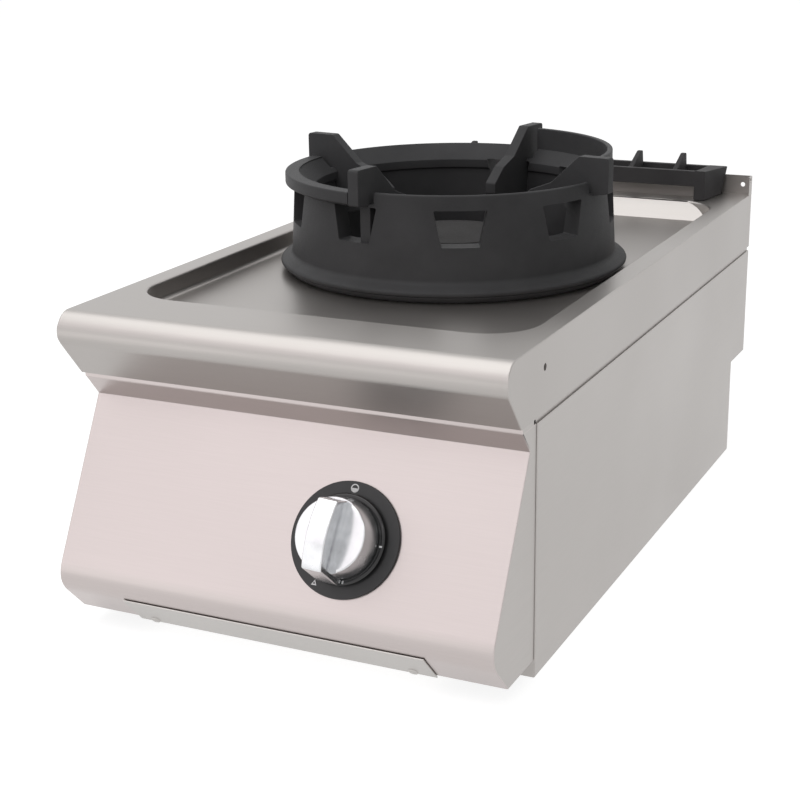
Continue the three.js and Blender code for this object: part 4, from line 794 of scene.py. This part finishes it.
down_face = Vector((sin(PANEL_LEAN), -cos(PANEL_LEAN)))
down_flange = Vector((-sin(FLANGE_LEAN), -cos(FLANGE_LEAN)))
bend_corner = Vector(PANEL_EDGE) + down_face * PANEL_LENGTH
flange_end = bend_corner + down_flange * FLANGE_LENGTH
panel_outline = [(PANEL_REAR, BODY_TOP), LEDGE_EDGE, PANEL_EDGE, tuple(bend_corner), tuple(flange_end),
                 (PANEL_REAR, flange_end.y)]
panel_round = round_corners(panel_outline, [0, 0.8, 0.8, PANEL_BEND, 0, 0], 8)
control_panel = pull_across("folded_control_panel", panel_round, -PANEL_HALF, PANEL_HALF)
pick(control_panel, "FACE", lambda x, f, z, n: f < PANEL_REAR + NEAR or z < flange_end.y + NEAR)
bpy.ops.mesh.delete(type="FACE")
thicken(control_panel, BODY_SHEET)
edit(control_panel)
pick(control_panel, "EDGE", lambda x, f, z, d: abs(x) > PANEL_HALF - NEAR and f > PANEL_REAR + NEAR
     and z > flange_end.y + NEAR)
bevel(EDGE_ROUND, 2)
outwards = Vector((0, -cos(PANEL_LEAN), sin(PANEL_LEAN)))
knob_centre = Vector(PANEL_EDGE) + down_face * KNOB_DOWN
knob_spot = spot(KNOB_X, *knob_centre)
tray_slot = box_solid("tray_slot", (-TRAY_SLOT_HALF, TRAY_SLOT_HALF),
                      (PANEL_REAR + 5, bend_corner.x + OVER), (0, TRAY_SLOT_TOP))
lip_front, lip_low = LEDGE_EDGE[0], BODY_TOP - GAP
lip_outline = [
    (lip_front - BODY_SHEET, lip_low), (lip_front - GAP * slope_tan, lip_low), LEDGE_EDGE,
    (lip_front, LIP_TOP - 0.5), (lip_front - 0.5, LIP_TOP), (lip_front - BODY_SHEET, LIP_TOP)]
lip_parts = [pull_across("ledge_lip", lip_outline, -PANEL_HALF, PANEL_HALF)]
for ends in ((-PANEL_HALF, -PANEL_HALF + BODY_SHEET), (PANEL_HALF - BODY_SHEET, PANEL_HALF)):
    span = (lip_front - LIP_RETURN, lip_front - BODY_SHEET / 2)
    lip_parts.append(box_solid("lip_return", ends, span, (lip_low, LIP_TOP)))
combine(control_panel, lip_parts, "UNION")
stem_hole = drill("stem_hole", knob_spot - outwards * 4 * MM, STEM_HOLE, outwards, 8)
combine(control_panel, [tray_slot, stem_hole], "DIFFERENCE")
complete(control_panel, "body", ["control_panel"], "panel_steel")
# The cheeks keep the plain body steel; the face and flange keep panel_steel, which is painted lighter
# and rose.
control_panel.data.materials.append(finishes["body_steel"])
for face in control_panel.data.polygons:
    if abs(face.normal.x) > ALONG and abs(face.center.x) > (PANEL_HALF - NEAR) * MM:
        face.material_index = 1
print("knob at", [round(value / MM, 1) for value in knob_spot])

# %% [markdown]
# ## The knob and its dial
# A black disc is fixed to the panel and carries the marks. In front of it turn a gloss black skirt
# and a chromed knob with a crowned grip bar across. All of them are modelled flat on the table,
# where numbers are easy, and turned onto the panel: local x is right, y up the panel, z outwards.

# %% Dial and skirt
up_panel = Vector((0, sin(PANEL_LEAN), cos(PANEL_LEAN)))
panel_frame = Matrix.Translation(knob_spot) @ Matrix(
    (RIGHT, up_panel, outwards)).transposed().to_4x4()


def onto_panel(piece):
    """Turns a piece that lies flat at the origin onto the panel."""
    return settle(piece, panel_frame)


DIAL_RADIUS = 47.4
DIAL_FRONT = 2.8
DIAL_WEB = 1.7
DIAL_HUB = 34
SKIRT_RADIUS = 37
SKIRT_ROUND = 1.9
SKIRT_BACK = 6.1
SKIRT_FRONT = 8.3
SKIRT_BEAD = 33
STEM_RADIUS = 4

dial = spin_round("dial", [
    (STEM_HOLE, DIAL_WEB), (DIAL_HUB, DIAL_WEB), (DIAL_HUB, GAP), (DIAL_RADIUS - 0.3, GAP),
    (DIAL_RADIUS, 0.7), (DIAL_RADIUS, DIAL_FRONT - 0.9), (DIAL_RADIUS - 0.3, DIAL_FRONT - 0.3),
    (DIAL_RADIUS - 1, DIAL_FRONT), (STEM_HOLE, DIAL_FRONT),
], 128)
complete(onto_panel(dial), "body", ["knob_bezel"], "black_plastic")

skirt = spin_round("knob_flange", [
    (STEM_RADIUS + GAP, SKIRT_BACK), (SKIRT_RADIUS - 0.4, SKIRT_BACK),
    (SKIRT_RADIUS, SKIRT_BACK + 0.3),
    *arc((SKIRT_RADIUS - SKIRT_ROUND, SKIRT_FRONT - SKIRT_ROUND), SKIRT_ROUND, 0, 90, 6),
    *[(SKIRT_BEAD + out, SKIRT_FRONT + up)
      for out, up in ((0.5, 0), (0.2, 0.2), (-0.2, 0.2), (-0.5, 0))],
    (STEM_RADIUS + GAP, SKIRT_FRONT),
], 128)
complete(onto_panel(skirt), "knob", ["knob_skirt"], "black_plastic", "gloss_plastic")

# %% Chrome knob
KNOB_BACK = 8.6
KNOB_WAIST = 14
KNOB_FRONT = 31.5
KNOB_RADIUS = 32.6
KNOB_TOP_RADIUS = 30.1
GRIP_FRONT = 54.3
GRIP_CROWN = 5.8
GRIP_WIDTH = 17.2
GRIP_TURN = radians(3)
GRIP_STEPS = 14
GRIP_UP = 26.2
GRIP_DOWN = 29.7
GRIP_FOOT_UP = 31.7
GRIP_FOOT_DOWN = 36.7
GRIP_SHOULDER = 11
GRIP_SHOULDER_UP = 30.4
GRIP_SHOULDER_DOWN = 35.6
CHANNEL_WIDTH = 26.4
CHANNEL_DEPTH = 1.6

knob = spin_round("chrome_knob", [
    (0, KNOB_BACK), (KNOB_RADIUS - 1, KNOB_BACK), (KNOB_RADIUS - 0.6, KNOB_BACK + 0.4),
    (KNOB_RADIUS - 0.6, KNOB_WAIST - 0.4), (KNOB_RADIUS, KNOB_WAIST),
    (KNOB_TOP_RADIUS + 0.2, KNOB_FRONT - 1.8), (KNOB_TOP_RADIUS - 0.4, KNOB_FRONT - 0.6),
    (KNOB_TOP_RADIUS - 1.6, KNOB_FRONT), (0, KNOB_FRONT - 0.4),
], 128)
channel_floor, channel_half = KNOB_FRONT - CHANNEL_DEPTH, CHANNEL_WIDTH / 2
channel_outline = [(-channel_half, KNOB_FRONT + OVER), (-channel_half + 0.4, channel_floor),
                   (channel_half - 0.4, channel_floor), (channel_half, KNOB_FRONT + OVER)]
combine(knob, [pull_loose("channel", channel_outline, Y, -60, 60)], "DIFFERENCE")
crown = []
for step in range(GRIP_STEPS + 1):
    share = step / GRIP_STEPS
    crown.append((GRIP_UP - (GRIP_UP + GRIP_DOWN) * share,
                  GRIP_FRONT - GRIP_CROWN * (2 * share - 1) ** 2))
shoulder = KNOB_BACK + GRIP_SHOULDER
grip_section = [(-GRIP_FOOT_DOWN, KNOB_BACK), (GRIP_FOOT_UP, KNOB_BACK),
                (GRIP_SHOULDER_UP, shoulder), *crown, (-GRIP_SHOULDER_DOWN, shoulder)]
grip = pull_loose("grip", grip_section, X, -GRIP_WIDTH / 2, GRIP_WIDTH / 2)
combine(knob, [soften(grip, 1.2, 3)], "UNION")
stem_bore = drill("stem_bore", UP * (KNOB_BACK - OVER) * MM, STEM_RADIUS + GAP, UP,
                  KNOB_FRONT - KNOB_BACK + OVER)
combine(knob, [stem_bore], "DIFFERENCE")
only(knob)
bpy.ops.transform.rotate(value=GRIP_TURN, orient_axis="Z", center_override=(0, 0, 0))
settle(knob)
complete(onto_panel(knob), "knob", ["control_knob"], "knob_chrome")

# %% [markdown]
# ### Marks
# Only plain marks are printed: a ring with its lower half filled for off, a small triangle for the
# low flame and two ticks on the turning flange. Each is a film 0.1 mm thick, so it is real geometry
# and survives the export, and no lettering is drawn.

# %% Marks
MARK_LIFT = 0.02
MARK_FILM = 0.1
MARK_RADIUS = 41.6
OFF_RING = 3.5
OFF_LINE = 0.9
OFF_SHIFT = 0.6
FLAME_INSIDE = 0.45


def film(name, outline, level):
    """A printed mark: its outline at a level above the panel, as thick as the film."""
    return pull_loose(name, outline, Z, level + MARK_LIFT, level + MARK_LIFT + MARK_FILM)


low, high = DIAL_FRONT + MARK_LIFT, DIAL_FRONT + MARK_LIFT + MARK_FILM
off_bore = OFF_RING - OFF_LINE
off_section = [(off_bore, low), (OFF_RING, low), (OFF_RING, high), (off_bore, high)]
off_ring = spin_round("dial_marks", off_section, 32)
half_disc = film("half", arc((0, 0), OFF_RING - OFF_LINE / 2, 180, 360, 16), DIAL_FRONT)
gather(off_ring, [half_disc])
bpy.ops.transform.translate(value=Vector((OFF_SHIFT, MARK_RADIUS, 0)) * MM)
settle(off_ring)
flame_place = Vector((-18.8, -37.6))
flame_corners = [Vector(corner) for corner in ((-2.4, -1.8), (2.4, -1.8), (0.4, 2.6))]
flame = film("flame", [tuple(flame_place + corner) for corner in flame_corners], DIAL_FRONT)
flame_inside = [tuple(flame_place + corner * FLAME_INSIDE) for corner in flame_corners]
combine(flame, [pull_loose("flame_inside", flame_inside, Z, 0, 2 * DIAL_FRONT)], "DIFFERENCE")
gather(off_ring, [flame])
complete(onto_panel(off_ring), "body", [], "black_plastic", "white_print")

TICKS = ((34.4, -1.2, 2.6, 1.4), (8.2, -33.4, 1.4, 2.6))
ticks = []
for x, y, width, height in TICKS:
    left, right, low, high = x - width / 2, x + width / 2, y - height / 2, y + height / 2
    corners = [(left, low), (right, low), (right, high), (left, high)]
    ticks.append(film("flange_ticks", corners, SKIRT_FRONT))
gather(ticks[0], ticks[1:])
complete(onto_panel(ticks[0]), "knob", [], "black_plastic", "white_print")

# %% [markdown]
# ## The wok ring
# One iron casting: a wall that leans in, a foot lip, a sloping seat for small woks, four fins that
# carry a large one, a wind shield between two fins and windows that let the flame breathe. It is
# spun from its section, then the windows are cut and the fins joined.

# %% Wok ring: spun wall
RING_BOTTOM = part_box("wok_ring")[0].z / MM
RIM = 87.3
SEAT_RADIUS = 131
SEAT_DROP = 13.5
RING_BORE = 134
FOOT_RADIUS = 165.4
WALL_FOOT = 154.4
WALL_RIM = 149.9
RING_STEPS = 180
seat_up = RIM - SEAT_DROP

wall_profile = [
    (RING_BORE + 1, 0), (FOOT_RADIUS - 3, 0), (FOOT_RADIUS - 1.2, 0.5), (FOOT_RADIUS - 0.2, 1.7),
    (FOOT_RADIUS, 3), (FOOT_RADIUS - 0.6, 4.4), (FOOT_RADIUS - 2, 5.6), (WALL_FOOT + 2.4, 8.6),
    (WALL_FOOT + 0.6, 10.4), (WALL_FOOT - 0.2, 13), (WALL_RIM + 0.2, RIM - 2.4),
    (WALL_RIM - 0.3, RIM - 0.8), (WALL_RIM - 1.4, RIM), (WALL_RIM - 2.6, RIM),
    (SEAT_RADIUS + 1.2, seat_up + 0.3), (SEAT_RADIUS, seat_up - 1),
    (SEAT_RADIUS, seat_up - 8.2), (SEAT_RADIUS + 0.8, seat_up - 9.4), (RING_BORE, seat_up - 10.4),
]


def ring_level(profile):
    """Heights above the ring's underside, as levels above the table."""
    return [(across, RING_BOTTOM + height) for across, height in profile]


wok_ring = spin_round("cast_wok_ring", ring_level(wall_profile), RING_STEPS, burner_axis)

# %% Wok ring: shield and lobe
FIN_TURN = -8.3
SHIELD_TOP = 106
SHIELD_WALL = 5
LOBE_RADIUS = 159


def ring_sector(name, profile, start, end, steps=45):
    """A closed [radius, height] section spun through part of a turn about the ring's axis."""
    first = radians(start)
    piece = draw(name, [burner_axis + Vector((r * cos(first), r * sin(first), z)) * MM
                        for r, z in ring_level(profile)])
    take_all()
    bpy.ops.mesh.edge_face_add()
    bpy.ops.mesh.spin(steps=steps, angle=-radians(end - start), center=burner_axis, axis=(0, 0, 1))
    mend(SEAM)
    return piece


shield_section = round_corners([
    (WALL_RIM - SHIELD_WALL, seat_up), (WALL_RIM + 0.1, seat_up),
    (WALL_RIM, SHIELD_TOP), (WALL_RIM - SHIELD_WALL, SHIELD_TOP)], [0, 0, 1.2, 1.2])
lobe_section = round_corners([
    (WALL_RIM - 4, RIM - 14), (WALL_RIM + 1.5, RIM - 14), (LOBE_RADIUS, RIM - 10.5),
    (LOBE_RADIUS, RIM), (WALL_RIM - 4, RIM)], [0, 0, 2, 1.6, 0])
combine(wok_ring, [
    ring_sector("shield", shield_section, FIN_TURN, FIN_TURN + 90),
    ring_sector("lobe", lobe_section, FIN_TURN + 180, FIN_TURN + 270),
], "UNION")

# %% Wok ring: windows, notches and fins
WINDOWS = 7
WINDOW_PITCH = 38
WINDOW_FIRST = -140.2
WINDOW_TOP = 74
WINDOW_BOTTOM = 41.8
WINDOW_TOP_WIDTH = 47.4
WINDOW_BOTTOM_WIDTH = 34
WINDOW_ROUND = 1.6
WINDOW_CUT = (120, 180)
FIN_WIDTH = 11
FIN_RADIUS = 165.9
FIN_TOP = 108.7
FIN_REACH = 70
NOTCH_WIDTH = 5.5
NOTCH_DEPTH = 11


def about_burner(piece, angle):
    """Turns a piece that was modelled along +X from the origin to its place round the burner."""
    return settle(piece, Matrix.Translation(burner_axis) @ Matrix.Rotation(radians(angle), 4, "Z"))


window_outline = round_corners(ring_level([
    (-WINDOW_BOTTOM_WIDTH / 2, WINDOW_BOTTOM), (WINDOW_BOTTOM_WIDTH / 2, WINDOW_BOTTOM),
    (WINDOW_TOP_WIDTH / 2, WINDOW_TOP), (-WINDOW_TOP_WIDTH / 2, WINDOW_TOP),
]), [WINDOW_ROUND] * 4, 3)
windows = []
for number in range(WINDOWS):
    window = pull_loose("window", window_outline, X, *WINDOW_CUT)
    windows.append(about_burner(window, WINDOW_FIRST + WINDOW_PITCH * number))
combine(wok_ring, windows, "DIFFERENCE")

notch_low = RING_BOTTOM + RIM - NOTCH_DEPTH
notches = []
for number in range(4):
    for side in (-1, 1):
        middle = side * (FIN_WIDTH + NOTCH_WIDTH) / 2
        low, high = middle - NOTCH_WIDTH / 2 - 0.2, middle + NOTCH_WIDTH / 2
        outline = [(SEAT_RADIUS - 1, low), (SEAT_RADIUS - 1, high),
                   (FOOT_RADIUS, high), (FOOT_RADIUS, low)]
        notch = pull_loose("notch", outline, Z, notch_low, notch_low + NOTCH_DEPTH + 25)
        notches.append(about_burner(notch, FIN_TURN + 90 * number))
combine(wok_ring, notches, "DIFFERENCE")

fin_corners = [
    (RING_BORE, 28), (WALL_RIM - 2, 28), (WALL_RIM - 2, FIN_TOP - 35), (FIN_RADIUS, FIN_TOP - 32),
    (FIN_RADIUS, FIN_TOP), (SEAT_RADIUS + 5, FIN_TOP), (SEAT_RADIUS - 23, FIN_TOP - 26),
    (FIN_REACH + 17, FIN_TOP - 34), (FIN_REACH, FIN_TOP - 48), (FIN_REACH, FIN_TOP - 59),
    (FIN_REACH + 30, FIN_TOP - 71),
]
fin_radii = [0, 0, 1, 2, 3, 3, 6, 4, 3, 3, 4]
fin_outline = ring_level(round_corners(fin_corners, fin_radii, 3))
fins = []
for number in range(4):
    fin = pull_loose("fin", fin_outline, Y, -FIN_WIDTH / 2, FIN_WIDTH / 2)
    fins.append(about_burner(soften(fin, 1.1, 2, 50), FIN_TURN + 90 * number))
combine(wok_ring, fins, "UNION")
complete(wok_ring, "ring", ["wok_ring"], "ring_iron", angle=35)

# %% Ring base
BASE_BORE = 123
BASE_FOOT = 158
BASE_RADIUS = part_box("ring_base")[1].x / MM
BASE_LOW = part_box("ring_base")[0].z / MM
BASE_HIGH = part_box("ring_base")[1].z / MM
ring_base = spin_round("cast_ring_base", [
    (BASE_BORE, BASE_LOW), (BASE_FOOT - 1, BASE_LOW), (BASE_FOOT, BASE_LOW + 0.6),
    (BASE_RADIUS - 0.6, BASE_HIGH - 1), (BASE_RADIUS - 0.8, BASE_HIGH), (BASE_BORE, BASE_HIGH),
], 144, burner_axis)
complete(ring_base, "body", ["ring_base"], "ring_iron")

# %% [markdown]
# ## The flue and its grille
# Burnt gas leaves through a folded duct at the rear, whose rim stands proud of the deck. A cast
# grille sits over it on two solid ends; six thin fins cross between its front and rear bars and
# stand up at the back, to keep a pan off the hot gas.

# %% Flue duct
FLUE_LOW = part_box("flue_duct")[0].z / MM
FLUE_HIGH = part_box("flue_duct")[1].z / MM
FLUE_BODY_HALF = FLUE_HALF - FLUE_LIP
FLUE_CORNER = 2.5
flue = box_solid("folded_flue", (-FLUE_BODY_HALF, FLUE_BODY_HALF), FLUE_SPAN, (FLUE_LOW, FLUE_HIGH))
pick(flue, "EDGE", lambda x, f, z, d: abs(d.z) > ALONG)
bevel(FLUE_CORNER, 4)
pick(flue, "FACE", lambda x, f, z, n: abs(n.z) > ALONG)
bpy.ops.mesh.delete(type="FACE")
thicken(flue, BODY_SHEET)
lip_top = DECK - TOP_SHEET - GAP
lip = box_solid("lip", (-FLUE_HALF, FLUE_HALF), (FLUE_SPAN[0] - FLUE_LIP, FLUE_SPAN[1] + FLUE_LIP),
                (lip_top - BODY_SHEET, lip_top))
lip_hole = box_solid("lip_hole", (-FLUE_BODY_HALF + 0.5, FLUE_BODY_HALF - 0.5),
                     (FLUE_SPAN[0] + 0.5, FLUE_SPAN[1] - 0.5), (lip_top - 5, lip_top + 5))
combine(lip, [lip_hole], "DIFFERENCE")
combine(flue, [lip], "UNION")
complete(flue, "body", ["flue_duct"], "body_steel")

# %% Flue grille
GRILLE_FRONT = 62
GRILLE_HALF_FRONT = 163
GRILLE_HALF_REAR = 172
GRILLE_FOOT = DECK + GAP
GRILLE_TOP = DECK + 32
GRILLE_REAR_TOP = DECK + 29
GRILLE_LEG = 12
GRILLE_BAR = 8
GRILLE_UNDERCUT = 15
GRILLE_FINS = 6
GRILLE_FIN_PITCH = 50
GRILLE_FIN_WIDTH = 5.5
GRILLE_FIN_TOP = GRILLE_REAR_TOP + 14
grille_slope = (GRILLE_TOP - GRILLE_REAR_TOP) / GRILLE_FRONT


def grille_level(forward):
    """The grille's top at a place between its rear and front bars."""
    return GRILLE_REAR_TOP + grille_slope * forward


def grille_plate(name, outline, left, right):
    """A plate of the grille: its [forward, up] outline between two x values, with soft edges."""
    return soften(pull_across(name, outline, left, right), 0.9, 2, 40)


def grille_end(side):
    """One solid end: it widens to the rear and is undercut there."""
    inner, front, rear = (
        side * half
        for half in (GRILLE_HALF_FRONT - GRILLE_LEG, GRILLE_HALF_FRONT, GRILLE_HALF_REAR))
    plan = [(inner, 0), (inner, GRILLE_FRONT), (front, GRILLE_FRONT), (rear, 0)]
    end = pull_up("end", plan, GRILLE_FOOT, GRILLE_TOP)
    slope_cut = [(-1, grille_level(-1)), (GRILLE_FRONT + 1, grille_level(GRILLE_FRONT + 1)),
                 (GRILLE_FRONT + 1, GRILLE_TOP + 20), (-1, GRILLE_TOP + 20)]
    foot_cut = [(-1, GRILLE_FOOT - 1), (GRILLE_UNDERCUT, GRILLE_FOOT - 1),
                (GRILLE_UNDERCUT, GRILLE_FOOT), (0, GRILLE_REAR_TOP), (-1, GRILLE_REAR_TOP)]
    tools = [pull_across("tool", cut, -HALF_WIDTH, HALF_WIDTH) for cut in (slope_cut, foot_cut)]
    return soften(combine(end, tools, "DIFFERENCE"), 1.2, 2, 20)


bar_bottom = GRILLE_TOP - 17
bar_rear = GRILLE_FRONT - GRILLE_BAR
fin_front = GRILLE_FRONT - GRILLE_BAR / 2
front_bar = [(bar_rear, bar_bottom), (GRILLE_FRONT - 0.15, bar_bottom),
             (GRILLE_FRONT - 0.15, GRILLE_TOP - 0.2), (bar_rear, grille_level(bar_rear) - 0.2)]
rear_bar = [(0.15, DECK + 20.3), (GRILLE_BAR, DECK + 20.3),
            (GRILLE_BAR, grille_level(GRILLE_BAR) - 0.2), (0.15, GRILLE_REAR_TOP - 0.2)]
fin_outline = round_corners([
    (GRILLE_BAR / 2, GRILLE_REAR_TOP - GRILLE_BAR), (fin_front, bar_bottom + 1),
    (fin_front, GRILLE_TOP - 1.5), (bar_rear - GRILLE_BAR, GRILLE_TOP - 2),
    (2 * GRILLE_BAR, GRILLE_FIN_TOP), (1.3 * GRILLE_BAR, GRILLE_FIN_TOP),
    (GRILLE_BAR, grille_level(GRILLE_BAR)),
    (GRILLE_BAR / 2, GRILLE_REAR_TOP - 0.5)], [0, 0, 0, 4, 2.2, 2.2, 1, 0], 3)
bar_half = GRILLE_HALF_FRONT - 1
grille = grille_plate("cast_flue_grille", front_bar, -bar_half, bar_half)
grille_parts = [grille_end(-1), grille_end(1), grille_plate("bar", rear_bar, -bar_half, bar_half)]
for number in range(GRILLE_FINS):
    fin_left = GRILLE_FIN_PITCH * (number - (GRILLE_FINS - 1) / 2) - GRILLE_FIN_WIDTH / 2
    grille_parts.append(grille_plate("fin", fin_outline, fin_left, fin_left + GRILLE_FIN_WIDTH))
combine(grille, grille_parts, "UNION")
complete(grille, "grille", ["flue_grille"], "grille_iron", angle=35)

# %% [markdown]
# ## The drip tray
# A shallow tray of folded sheet slides in under the panel. Its front is a plate that lies on the
# leaning flange, and two small dimples pressed in the plate keep it from sticking to the flange.

# %% Drip tray
TRAY_HALF = 134
TRAY_FRONT_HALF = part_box("drip_tray")[1].x / MM
TRAY_LOW = 15.8
TRAY_HIGH = 40
TRAY_REAR = 70
PLATE_SPAN = (14, 52)
BOX_OVERLAP = 0.6


def on_flange(distance, lift):
    """A [forward, up] point along the flange from the bend's corner, lifted off its face."""
    normal = Vector((cos(FLANGE_LEAN), -sin(FLANGE_LEAN)))
    return bend_corner + down_flange * distance + normal * lift


def flange_at(up, lift):
    """Where a level meets the lifted flange."""
    start = on_flange(0, lift)
    return (start.x + down_flange.x * (start.y - up) / -down_flange.y, up)


outer = GAP + BODY_SHEET
plate_outline = [on_flange(PLATE_SPAN[0], GAP), on_flange(PLATE_SPAN[0], outer),
                 on_flange(PLATE_SPAN[1], outer), on_flange(PLATE_SPAN[1], GAP)]
tray = soften(pull_across("sliding_tray", plate_outline, -TRAY_FRONT_HALF, TRAY_FRONT_HALF), 0.35)
box_outline = [(TRAY_REAR, TRAY_LOW), (TRAY_REAR, TRAY_HIGH),
               flange_at(TRAY_HIGH, GAP + BOX_OVERLAP), flange_at(TRAY_LOW, GAP + BOX_OVERLAP)]
tray_box = soften(pull_across("tray_box", box_outline, -TRAY_HALF, TRAY_HALF), 1.2)
tray_floor, hollow_half = TRAY_LOW + BODY_SHEET, TRAY_HALF - BODY_SHEET
hollow_rear = TRAY_REAR + BODY_SHEET
hollow_outline = [(hollow_rear, tray_floor), (hollow_rear, TRAY_HIGH + OVER),
                  flange_at(TRAY_HIGH + OVER, GAP), flange_at(tray_floor, GAP)]
tray_hollow = pull_across("tray_hollow", hollow_outline, -hollow_half, hollow_half)
combine(tray, [tray_box], "UNION")
combine(tray, [tray_hollow], "DIFFERENCE")

DIMPLE_RADIUS = 4.6
DIMPLE_HEIGHT = 1.6
DIMPLE_ROOT = 0.8
DIMPLES = ((-123, 48), (119, 48))
flange_out = Vector((0, -cos(FLANGE_LEAN), -sin(FLANGE_LEAN)))
lean = UP.rotation_difference(flange_out).to_matrix().to_4x4()
dome = [(0, -DIMPLE_ROOT), (DIMPLE_RADIUS, -DIMPLE_ROOT), (DIMPLE_RADIUS, 0),
        *[(DIMPLE_RADIUS * cos(radians(turn)), DIMPLE_HEIGHT * sin(radians(turn)))
          for turn in (30, 60)],
        (0, DIMPLE_HEIGHT)]
for x, distance in DIMPLES:
    dimple = spin_round("dimple", dome, 32)
    settle(dimple, Matrix.Translation(spot(x, *on_flange(distance, outer))) @ lean)
    combine(tray, [dimple], "UNION")
# tray_steel is the sides' steel painted lighter: painted light on the tray front.
complete(tray, "tray", ["drip_tray"], "tray_steel")

# %% [markdown]
# ## Pieces that keep their shape
# The pieces inside are right as they are. Each gets the finish that its slot names, so that the
# range looks whole when the ring or the tray is lifted away.

# %% Finishes for the pieces inside
for subpart in frame["record"]["subparts"]:
    node = frame["nodes"][subpart["node"]]
    node.data.materials.clear()
    node.data.materials.append(finishes[subpart["material_slot"]])
print(len(frame["nodes"]), "CAD nodes have a finish")
